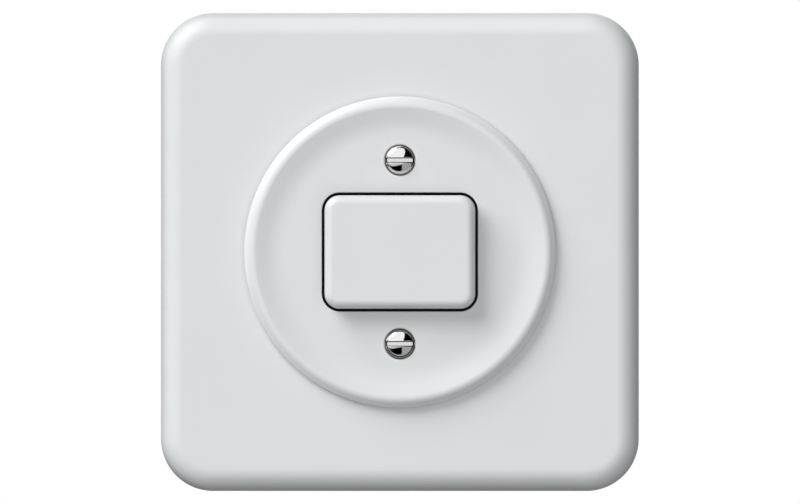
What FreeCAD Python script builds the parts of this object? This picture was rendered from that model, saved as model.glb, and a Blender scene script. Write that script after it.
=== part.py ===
import FreeCAD, Part
import math
import os

# Push button wall switch for a flush box, in millimetres: a square cover, a dished disc held by
# two screws, and behind them an alternate-action changeover insert on a steel mounting plate.
# X runs to the right, Z up and Y into the wall. The origin lies on the wall plane, at the centre
# of the mounting plate's rear face.

# Cover plate
PLATE_SIDE = 86.0
PLATE_CORNER_R = 9.4
PLATE_EDGE_R = 4.0
PLATE_WALL = 2.2
COLLAR_WALL = 1.6
COLLAR_CLEAR = 0.5
POST_R = 2.2
POST_INSET = 4.0
RIB_T = 1.4

# Disc
DISC_R = 28.0
DISC_OVERLAP = 3.0
DISC_RISE = 2.35
DISC_BEVEL = 0.6
DISC_BEVEL_ANGLE = 42.0
DISC_RIM_R = 1.6
DISC_DISH = 0.85
DISC_DISH_RUN = 5.45
DISC_DISH_ANGLE = 13.5
DISC_FLOOR_T = 2.2
DISC_BOSS_R = 3.3
DISC_BOSS_L = 2.3
SPIGOT_WALL = 1.6
SPIGOT_CLEAR = 0.2
SPIGOT_L = 2.6

# Disc screws and the bushes that take them
SCREW_PITCH = 33.0
SCREW_R = 1.45
HEAD_R = 2.75
HEAD_DOME = 0.9
HEAD_CLEAR = 0.1
DRIVE_SLOT_W = 1.0
DRIVE_SLOT_DEPTH = 1.3
THREAD_CLEAR = 0.05
BUSH_R = 2.3
BUSH_L = 6.8
BUSH_BOSS_R = 3.5
BUSH_BOSS_INSET = 0.4
SCREW_ENGAGEMENT = 5.0

# Button, its carrier and its travel
BUTTON_W = 27.2
BUTTON_H = 20.5
BUTTON_CORNER_R = 2.7
BUTTON_EDGE_R = 1.5
BUTTON_GAP = 0.5
BUTTON_RISE = 4.2
BUTTON_WALL = 1.7
BUTTON_TOP = 1.8
TRAVEL = 3.6
PRESS_GAP = 0.25
LIP_W = 0.9
LIP_T = 1.1
LIP_GAP = 0.15
CAP_CLEAR = 0.1
CLIP_DEPTH = 0.4
CLIP_W = 0.8
CLIP_L = 10.0
STEM_W = 9.0
STEM_H = 8.6
STEM_CORNER_R = 1.0
STEM_WALL = 1.6
STEM_CLEAR = 0.15
BARB_DEPTH = 0.6
BARB_L = 1.0
BARB_GAP = 0.1

# Return springs and the tappet leaf
SPRING_INSET = 5.0
SPRING_R = 1.85
SPRING_WIRE_R = 0.25
SPRING_TURNS = 4
SPRING_CLEAR = 0.3
SPRING_SEAT_DEPTH = 1.5
COIL_RUNS = 16
WIRE_SIDES = 8
LEAF_T = 0.4
LEAF_W = 4.0
LEAF_GRIP = 4.0
LEAF_CLEAR = 0.03
LEAF_TIP_R = 0.6
LEAF_TIP_GAP = 0.3

# Rocker, contact pin and contact lever
ROCKER_TILT = 10.0
ROCKER_W = 8.4
ROCKER_L = 11.8
ROCKER_RIDGE = 3.2
ROCKER_HORN = 2.4
ROCKER_HEEL = 0.9
ROCKER_CLEAR = 0.3
POCKET_R = 0.75
POCKET_X = 2.4
POCKET_Y = 1.4
STEM_GAP = 0.4
AXLE_R = 1.0
AXLE_CLEAR = 0.05
HUB_WALL = 1.5
CHEEK_T = 2.0
CHEEK_WALL = 1.9
TUBE_R = 2.4
TUBE_L = 6.2
TUBE_SEAT = 1.5
PIN_R = 1.5
PIN_CLEAR = 0.1
PIN_NOSE_R = 1.1
PIN_SHANK = 2.7
PIN_GAP = 0.06
CONTACT_SPRING_R = 1.2
CONTACT_SPRING_WIRE_R = 0.15
CONTACT_SPRING_TURNS = 3
LEVER_TILT = 8.0
LEVER_DROP = 9.5
LEVER_T = 0.8
LEVER_W = 5.0
LEVER_END = 1.8
TRUNNION_R = 0.6
TRUNNION_CLEAR = 0.05

# Contacts, strips and terminals
CONTACT_ARM = 10.6
CONTACT_R = 1.7
CONTACT_H = 0.9
CONTACT_DOME_R = 3.0
CONTACT_RIVET_R = 0.75
CONTACT_GAP = 0.06
FIXED_CONTACT_H = 0.8
STRIP_T = 0.8
STRIP_W = 5.0
STRIP_PAD = 2.2
STRIP_LAP = 1.6
LEG_W = 3.6
LEG_CLEAR = 0.7
EAR_T = 0.8
EAR_HALF = 2.0
EAR_TOP = 0.9
EAR_CLEAR = 0.3
BLOCK_W = 6.6
BLOCK_H = 7.0
BLOCK_L = 7.0
BLOCK_CLEAR = 0.1
BLOCK_REACH = 3.4
WIRE_BORE_R = 1.4
CLAMP_R = 1.2
CLAMP_HEAD_R = 2.2
CLAMP_HEAD_L = 1.6
CLAMP_TIP_GAP = 0.15

# Insert housing
FLANGE_T = 2.0
FLANGE_LAP = 1.8
SHELL_WALL = 2.3
SHELL_CORNER_R = 3.0
FRONT_WALL = 3.0
GUIDE_L = 5.2
GUIDE_WALL = 1.4
BASE_FLOOR_T = 2.4
BASE_EDGE_R = 1.2
POCKET_WALL = 1.4
POCKET_DEPTH = 6.0
HOLD_DOWN_W = 4.0
ENTRY_R = 1.7
ENTRY_FLARE = 1.2
ACCESS_CLEAR = 0.3
PILLAR_R = 2.6
PILLAR_INSET = 3.4

# Housing screws and insert screws
JOIN_R = 1.0
JOIN_HEAD_R = 2.0
JOIN_HEAD_L = 1.3
JOIN_GRIP = 5.0
EAR_SCREW_R = 1.2
EAR_SCREW_HEAD_R = 2.2
EAR_SCREW_HEAD_L = 1.5
EAR_SCREW_X = 14.0
EAR_SCREW_OFFSET = 2.8
EAR_SCREW_TAIL = 1.0
SCREW_CLEAR = 0.15
SMALL_SLOT_W = 0.6
SMALL_SLOT_DEPTH = 0.7

# Mounting plate
MOUNT_EDGE = 2.0
MOUNT_CORNER_R = 6.0
MOUNT_T = 1.2
MOUNT_CLEAR = 0.3
BOX_PITCH = 60.0
BOX_SLOT_R = 1.8
BOX_SLOT_L = 7.0

# Depths along Y, from the wall plane to the front
WALL = 0.0
MOUNT_FRONT = WALL - MOUNT_T
INSERT_FRONT = MOUNT_FRONT - FLANGE_T
LIP_REAR = INSERT_FRONT - PRESS_GAP - TRAVEL
LIP_FRONT = LIP_REAR - LIP_T
DISC_REAR = LIP_FRONT - LIP_GAP
DISC_FLOOR = DISC_REAR - DISC_FLOOR_T
DISC_RIM = DISC_FLOOR - DISC_DISH
PLATE_FRONT = DISC_RIM + DISC_RISE
PLATE_INNER = PLATE_FRONT + PLATE_WALL
BUTTON_FACE = DISC_FLOOR - BUTTON_RISE
CAP_INNER = BUTTON_FACE + BUTTON_TOP
BOSS_MEET = DISC_REAR + DISC_BOSS_L
COLLAR_REAR = INSERT_FRONT - EAR_SCREW_HEAD_L - COLLAR_CLEAR

# Depths along Y, from the insert's front to its rear
INSERT_INNER = INSERT_FRONT + FRONT_WALL
GUIDE_REAR = INSERT_FRONT + GUIDE_L
STEM_END = GUIDE_REAR + BARB_GAP + BARB_L
ROCKER_Y = STEM_END + TRAVEL + STEM_GAP + ROCKER_RIDGE
LEAF_TIP_Y = ROCKER_Y - ROCKER_RIDGE - LEAF_TIP_GAP - LEAF_TIP_R
LEVER_Y = ROCKER_Y + LEVER_DROP
PIN_NOSE_Y = LEVER_Y - LEVER_T / 2 - PIN_GAP - PIN_NOSE_R
PIN_TOP_Y = PIN_NOSE_Y - PIN_NOSE_R - PIN_SHANK
LEVER_SWING = math.radians(LEVER_TILT)
DOME_CENTRE = LEVER_T / 2 + CONTACT_H - CONTACT_DOME_R
CONTACT_X = CONTACT_ARM * math.cos(LEVER_SWING) - DOME_CENTRE * math.sin(LEVER_SWING)
DOME_Y = LEVER_Y + CONTACT_ARM * math.sin(LEVER_SWING) + DOME_CENTRE * math.cos(LEVER_SWING)
FIXED_TOP = DOME_Y + CONTACT_DOME_R + CONTACT_GAP
STRIP_FRONT = FIXED_TOP + FIXED_CONTACT_H
STRIP_REAR = STRIP_FRONT + STRIP_T
BASE_REAR = STRIP_REAR + BASE_FLOOR_T
BLOCK_FRONT = STRIP_FRONT - BLOCK_L
BLOCK_MID = STRIP_FRONT - BLOCK_L / 2

# Breadths across X and Z
MOUNT_SIDE = BOX_PITCH + BOX_SLOT_L + 2 * MOUNT_EDGE
PLATE_BORE_R = DISC_R - DISC_OVERLAP
SPIGOT_R = PLATE_BORE_R - SPIGOT_CLEAR
OPENING_W = BUTTON_W + 2 * BUTTON_GAP
OPENING_H = BUTTON_H + 2 * BUTTON_GAP
OPENING_CORNER_R = BUTTON_CORNER_R + BUTTON_GAP
CAP_INNER_W = BUTTON_W - 2 * BUTTON_WALL
CAP_INNER_H = BUTTON_H - 2 * BUTTON_WALL
CAP_INNER_R = BUTTON_CORNER_R - BUTTON_WALL
SPRING_PITCH = BUTTON_W - 2 * SPRING_INSET
SPRING_BORE_R = SPRING_R + SPRING_WIRE_R + SPRING_CLEAR
BLOCK_INNER = CONTACT_ARM + BLOCK_REACH
BLOCK_X = BLOCK_INNER + BLOCK_W / 2
INSERT_HALF_W = BLOCK_INNER + BLOCK_W + BLOCK_CLEAR + SHELL_WALL
INSERT_HALF_H = SCREW_PITCH / 2 + BUSH_BOSS_R + BUSH_BOSS_INSET
CHEEK_INNER = ROCKER_L / 2 + ROCKER_CLEAR
CHEEK_HALF = AXLE_R + CHEEK_WALL
COMMON_X = CHEEK_HALF + LEG_CLEAR + LEG_W / 2
COMMON_Z = INSERT_HALF_H - SHELL_WALL - BLOCK_CLEAR - BLOCK_W / 2
EAR_SCREW_Z = INSERT_HALF_H + EAR_SCREW_OFFSET
POST_XZ = MOUNT_SIDE / 2 - POST_INSET

MITRED = 1
TOUCH = 1e-6
RIGHT_ANGLE = 90.0
AXIS_X = FreeCAD.Vector(1, 0, 0)
AXIS_Y = FreeCAD.Vector(0, 1, 0)
AXIS_Z = FreeCAD.Vector(0, 0, 1)
ORIGIN = FreeCAD.Vector(0, 0, 0)

# Each terminal's wire axis in X and Z, and the way that its clamp screw faces
TERMINALS = {
    "right": (BLOCK_X, 0.0, AXIS_X),
    "left": (-BLOCK_X, 0.0, -AXIS_X),
    "common": (COMMON_X, -COMMON_Z, -AXIS_Z),
}
DISC_SCREW_PLACES = [(0.0, side * SCREW_PITCH / 2) for side in (-1, 1)]
PILLAR_PLACES = [
    (side_x * (INSERT_HALF_W - PILLAR_INSET), side_z * (INSERT_HALF_H - PILLAR_INSET))
    for side_x in (-1, 1)
    for side_z in (-1, 1)
]
EAR_SCREW_PLACES = [
    (side_x * EAR_SCREW_X, side_z * EAR_SCREW_Z) for side_x in (-1, 1) for side_z in (-1, 1)
]


def box(x_span, y_span, z_span):
    """Box between a low and a high limit on each axis."""
    corner = FreeCAD.Vector(x_span[0], y_span[0], z_span[0])
    size = [span[1] - span[0] for span in (x_span, y_span, z_span)]
    return Part.makeBox(*size, corner)


def both(half):
    """Span from minus to plus a half size."""
    return (-half, half)


def edges_along_y(shape):
    """Edges of a plain block that run along Y."""
    return [e for e in shape.Edges if abs(e.Vertexes[0].Y - e.Vertexes[-1].Y) > TOUCH]


def edges_at(shape, y):
    """Edges of a shape that lie whole in the plane at depth y."""
    return [e for e in shape.Edges if all(abs(v.Y - y) < TOUCH for v in e.Vertexes)]


def prism(width, height, corner_r, y_span, x=0.0, z=0.0):
    """Rounded rectangle across X and Z, drawn out along Y."""
    block = box((x - width / 2, x + width / 2), y_span, (z - height / 2, z + height / 2))
    return block.makeFillet(corner_r, edges_along_y(block))


def rod(radius, y_span, x=0.0, z=0.0):
    """Round rod along Y."""
    return Part.makeCylinder(radius, y_span[1] - y_span[0], FreeCAD.Vector(x, y_span[0], z), AXIS_Y)


def taper(front_r, rear_r, y_span, x=0.0, z=0.0):
    """Round taper along Y."""
    start = FreeCAD.Vector(x, y_span[0], z)
    return Part.makeCone(front_r, rear_r, y_span[1] - y_span[0], start, AXIS_Y)


def cross_rod(radius, half_length, y, x=0.0):
    """Round rod along Z, centred on Z = 0."""
    start = FreeCAD.Vector(x, y, -half_length)
    return Part.makeCylinder(radius, 2 * half_length, start, AXIS_Z)


def line(start, end):
    """Straight edge between two (X, Y) points."""
    return Part.makeLine(FreeCAD.Vector(*start, 0), FreeCAD.Vector(*end, 0))


def arc(start, middle, end):
    """Circular edge through three (X, Y) points."""
    return Part.Arc(*[FreeCAD.Vector(*p, 0) for p in (start, middle, end)]).toShape()


def turned(edges):
    """Solid turned about the Y axis from a closed (radius, Y) profile."""
    return Part.Face(Part.Wire(edges)).revolve(ORIGIN, AXIS_Y, 4 * RIGHT_ANGLE)


def at(shape, x=0.0, y=0.0, z=0.0):
    """Copy of a shape, moved."""
    return shape.translated(FreeCAD.Vector(x, y, z))


def tilted(shape, y, degrees):
    """Copy of a shape, turned about the Z line at depth y."""
    return shape.rotated(FreeCAD.Vector(0, y, 0), AXIS_Z, degrees)


def at_terminal(shape, name):
    """Copy of a shape built about a wire axis on Y, with its clamp to the right, at one terminal."""
    x, z, facing = TERMINALS[name]
    turn = math.degrees(math.atan2(-facing.z, facing.x))
    return at(shape.rotated(ORIGIN, AXIS_Y, turn), x=x, z=z)


def joined(first, *others):
    """Union of shapes with the seams between flush faces taken out."""
    return first.fuse(list(others)).removeSplitter()


def coil(mean_r, wire_r, turns, length):
    """Wire wound about the Y axis in short straight runs, from Y = 0 to Y = length."""
    runs = turns * COIL_RUNS
    rise = (length - 2 * wire_r) / runs
    turn = 2 * math.pi / COIL_RUNS
    path = [
        FreeCAD.Vector(mean_r * math.cos(turn * i), wire_r + rise * i, mean_r * math.sin(turn * i))
        for i in range(runs + 1)
    ]
    along = (path[1] - path[0]).normalize()
    out = FreeCAD.Vector(AXIS_X)
    across = along.cross(out).normalize()
    ring = []
    for corner in range(WIRE_SIDES + 1):
        angle = 2 * math.pi * corner / WIRE_SIDES
        ring.append(path[0] + out * wire_r * math.cos(angle) + across * wire_r * math.sin(angle))
    section = Part.makePolygon(ring)
    return Part.makePolygon(path).makePipeShell([section], True, True, MITRED)


def cover_plate():
    """Square moulded cover with a soft front edge, open behind, with collar, ribs and posts."""
    inner_side = PLATE_SIDE - 2 * PLATE_WALL
    body = prism(PLATE_SIDE, PLATE_SIDE, PLATE_CORNER_R, (PLATE_FRONT, WALL))
    body = body.makeFillet(PLATE_EDGE_R, edges_at(body, PLATE_FRONT))
    hollow = prism(inner_side, inner_side, PLATE_CORNER_R - PLATE_WALL, (PLATE_INNER, WALL))
    hollow = hollow.makeFillet(PLATE_EDGE_R - PLATE_WALL, edges_at(hollow, PLATE_INNER))
    collar_span = (PLATE_INNER, COLLAR_REAR)
    additions = [rod(PLATE_BORE_R + COLLAR_WALL, collar_span)]
    reach = POST_XZ * math.sqrt(2)
    rib = box((PLATE_BORE_R + COLLAR_WALL / 2, reach), collar_span, both(RIB_T / 2))
    post = at(rod(POST_R, (PLATE_INNER, MOUNT_FRONT)), x=reach)
    for corner in range(4):
        turn = RIGHT_ANGLE * (corner + 0.5)
        additions += [piece.rotated(ORIGIN, AXIS_Y, turn) for piece in (rib, post)]
    shell = joined(body.cut(hollow), *additions)
    return shell.cut(rod(PLATE_BORE_R, (PLATE_FRONT, COLLAR_REAR)))


def on_arc(centre, radius, degrees):
    """Point of a (X, Y) circle, at an angle from the way to the front towards +X."""
    angle = math.radians(degrees)
    return (centre[0] + radius * math.sin(angle), centre[1] - radius * math.cos(angle))


def disc_profile():
    """Half section of the disc: floor, dish that rises to a straight slope, round rim, bevel and spigot."""
    slope = math.radians(DISC_DISH_ANGLE)
    bevel = math.radians(DISC_BEVEL_ANGLE)
    crest_x = DISC_R - DISC_BEVEL - DISC_RIM_R * math.sin(bevel)
    foot = (crest_x - DISC_DISH_RUN, DISC_FLOOR)
    run = DISC_DISH_RUN - DISC_RIM_R * math.sin(slope)
    rise = DISC_DISH - DISC_RIM_R * (1 - math.cos(slope))
    sweep_r = (run * math.tan(slope) - rise) / (1 / math.cos(slope) - 1)
    sweep_centre = (foot[0], DISC_FLOOR - sweep_r)
    sweep_mid = on_arc(sweep_centre, -sweep_r, -DISC_DISH_ANGLE / 2)
    slope_foot = on_arc(sweep_centre, -sweep_r, -DISC_DISH_ANGLE)
    rim_centre = (crest_x, DISC_RIM + DISC_RIM_R)
    slope_top = on_arc(rim_centre, DISC_RIM_R, -DISC_DISH_ANGLE)
    bevel_top = on_arc(rim_centre, DISC_RIM_R, DISC_BEVEL_ANGLE)
    bevel_foot = (DISC_R, bevel_top[1] + DISC_BEVEL * math.tan(bevel))
    spigot_end = PLATE_FRONT + SPIGOT_L
    corners = [
        bevel_top,
        bevel_foot,
        (DISC_R, PLATE_FRONT),
        (SPIGOT_R, PLATE_FRONT),
        (SPIGOT_R, spigot_end),
        (SPIGOT_R - SPIGOT_WALL, spigot_end),
        (SPIGOT_R - SPIGOT_WALL, DISC_REAR),
        (0, DISC_REAR),
        (0, DISC_FLOOR),
        foot,
    ]
    dish = [arc(foot, sweep_mid, slope_foot), line(slope_foot, slope_top)]
    rim = arc(slope_top, (crest_x, DISC_RIM), bevel_top)
    return [*dish, rim] + [line(a, b) for a, b in zip(corners, corners[1:])]


def cover_disc():
    """Dished disc with the button's opening and two countersunk screw bosses."""
    disc = turned(disc_profile())
    bosses = [rod(DISC_BOSS_R, (DISC_REAR, BOSS_MEET), x, z) for x, z in DISC_SCREW_PLACES]
    disc = joined(disc, *bosses)
    cuts = [prism(OPENING_W, OPENING_H, OPENING_CORNER_R, (DISC_RIM, DISC_REAR))]
    hole_r = SCREW_R + SCREW_CLEAR
    sink_r = HEAD_R + HEAD_CLEAR
    for x, z in DISC_SCREW_PLACES:
        cuts.append(rod(hole_r, (DISC_FLOOR, BOSS_MEET), x, z))
        cuts.append(taper(sink_r, hole_r, (DISC_FLOOR, DISC_FLOOR + sink_r - hole_r), x, z))
    return disc.cut(cuts)


def disc_screw():
    """Raised countersunk screw with a slot across its head, on the Y axis."""
    dome_r = (HEAD_R**2 + HEAD_DOME**2) / (2 * HEAD_DOME)
    half = math.asin(HEAD_R / dome_r) / 2
    top = DISC_FLOOR - HEAD_DOME
    dome_mid = (dome_r * math.sin(half), top + dome_r * (1 - math.cos(half)))
    tip = BOSS_MEET + SCREW_ENGAGEMENT
    corners = [
        (HEAD_R, DISC_FLOOR),
        (SCREW_R, DISC_FLOOR + HEAD_R - SCREW_R),
        (SCREW_R, tip - SCREW_R / 2),
        (SCREW_R / 2, tip),
        (0, tip),
        (0, top),
    ]
    edges = [arc((0, top), dome_mid, (HEAD_R, DISC_FLOOR))]
    edges += [line(a, b) for a, b in zip(corners, corners[1:])]
    drive = box(both(HEAD_R), (top, top + DRIVE_SLOT_DEPTH), both(DRIVE_SLOT_W / 2))
    return turned(edges).cut(drive)


def disc_screws():
    """The two screws that draw the disc on to the insert."""
    return Part.Compound([at(disc_screw(), x, 0, z) for x, z in DISC_SCREW_PLACES])


def threaded_bushes():
    """Two brass bushes pressed into the insert for the disc screws."""
    span = (BOSS_MEET, BOSS_MEET + BUSH_L)
    bush = rod(BUSH_R, span).cut(rod(SCREW_R + THREAD_CLEAR, span))
    return Part.Compound([at(bush, x, 0, z) for x, z in DISC_SCREW_PLACES])


def mounting_plate():
    """Steel plate with an opening for the insert and slots for box screws on both lines."""
    span = (MOUNT_FRONT, WALL)
    plate = prism(MOUNT_SIDE, MOUNT_SIDE, MOUNT_CORNER_R, span)
    opening_w = 2 * (INSERT_HALF_W + MOUNT_CLEAR)
    opening_h = 2 * (INSERT_HALF_H + MOUNT_CLEAR)
    cuts = [prism(opening_w, opening_h, SHELL_CORNER_R + MOUNT_CLEAR, span)]
    half_run = BOX_SLOT_L / 2 - BOX_SLOT_R
    ends = [rod(BOX_SLOT_R, span, BOX_PITCH / 2 + side * half_run) for side in (-1, 1)]
    middle_x = (BOX_PITCH / 2 - half_run, BOX_PITCH / 2 + half_run)
    slot = joined(box(middle_x, span, both(BOX_SLOT_R)), *ends)
    cuts += [slot.rotated(ORIGIN, AXIS_Y, RIGHT_ANGLE * quarter) for quarter in range(4)]
    cuts += [rod(EAR_SCREW_R + THREAD_CLEAR, span, x, z) for x, z in EAR_SCREW_PLACES]
    return plate.cut(cuts)


def slotted_screw(radius, head_r, head_l, shank_l):
    """Cheese head screw on the Y axis: head from -head_l to 0, shank from 0 to shank_l."""
    head = rod(head_r, (-head_l, 0))
    shank = rod(radius, (0, shank_l))
    drive = box(both(head_r), (-head_l, SMALL_SLOT_DEPTH - head_l), both(SMALL_SLOT_W / 2))
    return joined(head, shank).cut(drive)


def insert_screws():
    """Four screws that hold the insert's flange on the mounting plate."""
    shank_l = WALL + EAR_SCREW_TAIL - INSERT_FRONT
    screw = slotted_screw(EAR_SCREW_R, EAR_SCREW_HEAD_R, EAR_SCREW_HEAD_L, shank_l)
    return Part.Compound([at(screw, x, INSERT_FRONT, z) for x, z in EAR_SCREW_PLACES])


def insert_shell(y_span):
    """Outer block of the insert over a span of depth."""
    return prism(2 * INSERT_HALF_W, 2 * INSERT_HALF_H, SHELL_CORNER_R, y_span)


def insert_hollow(y_span):
    """Room inside the insert's walls over a span of depth."""
    width = 2 * (INSERT_HALF_W - SHELL_WALL)
    height = 2 * (INSERT_HALF_H - SHELL_WALL)
    return prism(width, height, SHELL_CORNER_R - SHELL_WALL, y_span)


def bearing_cheeks(y_span):
    """Two walls beside the rocker that each hold half of the axle's bearings."""
    near = box(both(CHEEK_HALF), y_span, (CHEEK_INNER, CHEEK_INNER + CHEEK_T))
    return [near, near.mirror(ORIGIN, AXIS_Z)]


def axle_bore():
    """Cutter for the split bearings at the parting plane."""
    return cross_rod(AXLE_R + AXLE_CLEAR, CHEEK_INNER + CHEEK_T, ROCKER_Y)


def flange_features():
    """Flange of the insert's front half, with four ears for the insert screws."""
    span = (INSERT_FRONT, MOUNT_FRONT)
    width = 2 * (INSERT_HALF_W + FLANGE_LAP)
    height = 2 * (INSERT_HALF_H + FLANGE_LAP)
    ear_r = EAR_SCREW_HEAD_R + SCREW_CLEAR
    features = [prism(width, height, SHELL_CORNER_R + FLANGE_LAP, span)]
    for x, z in EAR_SCREW_PLACES:
        features.append(rod(ear_r, span, x, z))
        features.append(box((x - ear_r, x + ear_r), span, sorted((0, z))))
    return features


def stem_prism(margin, y_span):
    """Section of the plunger's stem, grown by a margin."""
    return prism(STEM_W + 2 * margin, STEM_H + 2 * margin, STEM_CORNER_R + margin, y_span)


def cover_features():
    """Bosses, stem guide, pillars, bearing cheeks and terminal hold-downs of the front half."""
    bush_span = (BOSS_MEET, BOSS_MEET + BUSH_L)
    inside = (INSERT_FRONT, ROCKER_Y)
    post = box(both(HOLD_DOWN_W / 2), (INSERT_FRONT, BLOCK_FRONT), both(HOLD_DOWN_W / 2))
    features = [rod(BUSH_BOSS_R, bush_span, x, z) for x, z in DISC_SCREW_PLACES]
    features.append(stem_prism(STEM_CLEAR + GUIDE_WALL, (INSERT_FRONT, GUIDE_REAR)))
    features += [rod(PILLAR_R, inside, x, z) for x, z in PILLAR_PLACES]
    features += bearing_cheeks(inside)
    features += [at_terminal(post, name) for name in TERMINALS]
    return features


def housing_cover():
    """Front half of the insert, moulded with its flange, guide, bearings and hold-downs."""
    shell = insert_shell((INSERT_FRONT, ROCKER_Y)).cut(insert_hollow((INSERT_INNER, ROCKER_Y)))
    cover = joined(shell, *flange_features(), *cover_features())
    bush_span = (BOSS_MEET, BOSS_MEET + BUSH_L)
    seat_span = (INSERT_FRONT, INSERT_FRONT + SPRING_SEAT_DEPTH)
    thread_span = (ROCKER_Y - JOIN_GRIP, ROCKER_Y)
    ear_span = (INSERT_FRONT, MOUNT_FRONT)
    cuts = [axle_bore(), stem_prism(STEM_CLEAR, (INSERT_FRONT, GUIDE_REAR))]
    cuts += [rod(SPRING_BORE_R, seat_span, side * SPRING_PITCH / 2) for side in (-1, 1)]
    cuts += [rod(BUSH_R, bush_span, x, z) for x, z in DISC_SCREW_PLACES]
    cuts += [rod(JOIN_R, thread_span, x, z) for x, z in PILLAR_PLACES]
    cuts += [rod(EAR_SCREW_R + SCREW_CLEAR, ear_span, x, z) for x, z in EAR_SCREW_PLACES]
    return cover.cut(cuts)


def housing_base():
    """Rear half of the insert: bearings, terminal pockets, wire entries and screw pillars."""
    shell = insert_shell((ROCKER_Y, BASE_REAR))
    shell = shell.makeFillet(BASE_EDGE_R, edges_at(shell, BASE_REAR))
    shell = shell.cut(insert_hollow((ROCKER_Y, STRIP_REAR)))
    inside = (ROCKER_Y, BASE_REAR - BASE_FLOOR_T / 2)
    additions = bearing_cheeks(inside)
    additions += [rod(PILLAR_R, inside, x, z) for x, z in PILLAR_PLACES]
    pocket_half = BLOCK_H / 2 + BLOCK_CLEAR
    wall_x = (-BLOCK_W / 2, BLOCK_W / 2 + BLOCK_CLEAR + SHELL_WALL / 2)
    wall_y = (STRIP_FRONT - POCKET_DEPTH, inside[1])
    near_wall = box(wall_x, wall_y, (pocket_half, pocket_half + POCKET_WALL))
    ledge_x = (-BLOCK_W / 2 + STRIP_LAP + BLOCK_CLEAR, wall_x[1])
    ledge = box(ledge_x, (STRIP_FRONT, inside[1]), both(pocket_half + POCKET_WALL))
    for name in TERMINALS:
        pieces = (near_wall, near_wall.mirror(ORIGIN, AXIS_Z), ledge)
        additions += [at_terminal(piece, name) for piece in pieces]
    base = joined(shell, *additions)
    cuts = [axle_bore()]
    entry = rod(ENTRY_R, (STRIP_FRONT, BASE_REAR))
    flare_span = (BASE_REAR - ENTRY_FLARE, BASE_REAR)
    flare = taper(ENTRY_R, ENTRY_R + ENTRY_FLARE, flare_span)
    access_x = (BLOCK_W / 2, BLOCK_W / 2 + BLOCK_CLEAR + SHELL_WALL)
    access = rod(CLAMP_HEAD_R + ACCESS_CLEAR, access_x).rotated(ORIGIN, AXIS_Z, -RIGHT_ANGLE)
    for name in TERMINALS:
        cuts += [at_terminal(piece, name) for piece in (entry, flare, at(access, y=BLOCK_MID))]
    for x, z in PILLAR_PLACES:
        cuts.append(rod(JOIN_R + SCREW_CLEAR, (ROCKER_Y, BASE_REAR), x, z))
        cuts.append(rod(JOIN_HEAD_R + SCREW_CLEAR, (BASE_REAR - JOIN_HEAD_L, BASE_REAR), x, z))
    return base.cut(cuts)


def housing_screws():
    """Four screws from the rear that draw the insert's halves together."""
    seat = BASE_REAR - JOIN_HEAD_L
    screw = slotted_screw(JOIN_R, JOIN_HEAD_R, JOIN_HEAD_L, seat - ROCKER_Y + JOIN_GRIP)
    screw = at(screw.rotated(ORIGIN, AXIS_X, 2 * RIGHT_ANGLE), y=seat)
    return Part.Compound([at(screw, x, 0, z) for x, z in PILLAR_PLACES])


def button_cap():
    """Moulded shell of the button, with ridges inside that clip on the plunger's head."""
    cap = prism(BUTTON_W, BUTTON_H, BUTTON_CORNER_R, (BUTTON_FACE, LIP_FRONT))
    cap = cap.makeFillet(BUTTON_EDGE_R, edges_at(cap, BUTTON_FACE))
    cap = cap.cut(prism(CAP_INNER_W, CAP_INNER_H, CAP_INNER_R, (CAP_INNER, LIP_FRONT)))
    return joined(cap, *clip_ridges(CLIP_DEPTH, CLIP_W))


def clip_ridges(depth, width):
    """Two ridges on the cap's long inner walls, half way down the plunger's head."""
    middle = (CAP_INNER + LIP_FRONT) / 2
    wall = CAP_INNER_H / 2
    ridge = box(both(CLIP_L / 2), (middle - width / 2, middle + width / 2), (wall - depth, wall))
    return [ridge, ridge.mirror(ORIGIN, AXIS_Z)]


def plunger():
    """Carrier under the cap: head, retaining lip, hollow stem with barbs, and spring pockets."""
    lip_w = OPENING_W + 2 * LIP_W
    lip_h = OPENING_H + 2 * LIP_W
    lip = prism(lip_w, lip_h, OPENING_CORNER_R + LIP_W, (LIP_FRONT, LIP_REAR))
    head_w = CAP_INNER_W - 2 * CAP_CLEAR
    head_h = CAP_INNER_H - 2 * CAP_CLEAR
    head = prism(head_w, head_h, CAP_INNER_R, (CAP_INNER, LIP_FRONT))
    stem = prism(STEM_W, STEM_H, STEM_CORNER_R, (LIP_REAR, STEM_END))
    barb_half = STEM_H / 2 + STEM_CLEAR + BARB_DEPTH
    barb_x = both(STEM_W / 2 - STEM_CORNER_R)
    barbs = box(barb_x, (STEM_END - BARB_L, STEM_END), both(barb_half))
    body = joined(lip, head, stem, barbs)
    cuts = [prism(STEM_W - 2 * STEM_WALL, STEM_H - 2 * STEM_WALL, STEM_CORNER_R, stem_room())]
    leaf_half_t = LEAF_T / 2 + LEAF_CLEAR
    leaf_half_w = LEAF_W / 2 + LEAF_CLEAR
    cuts.append(box(both(leaf_half_t), leaf_grip(), both(leaf_half_w)))
    pocket = (spring_top(), LIP_REAR)
    cuts += [rod(SPRING_BORE_R, pocket, side * SPRING_PITCH / 2) for side in (-1, 1)]
    cuts += clip_ridges(CLIP_DEPTH + CAP_CLEAR, CLIP_W + 2 * CAP_CLEAR)
    return body.cut(cuts)


def stem_room():
    """Depths of the room in the stem where the leaf can bend."""
    return (LIP_REAR + STEM_WALL, STEM_END)


def leaf_grip():
    """Depths over which the plunger grips the leaf."""
    return (stem_room()[0] - LEAF_GRIP, stem_room()[0])


def spring_top():
    """Depth of the return springs' seats in the plunger's head."""
    return CAP_INNER + BUTTON_WALL


def return_spring(side):
    """One return spring, from its pocket in the plunger to its seat in the insert."""
    length = INSERT_FRONT + SPRING_SEAT_DEPTH - spring_top()
    spring = coil(SPRING_R, SPRING_WIRE_R, SPRING_TURNS, length)
    return at(spring, x=side * SPRING_PITCH / 2, y=spring_top())


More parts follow.
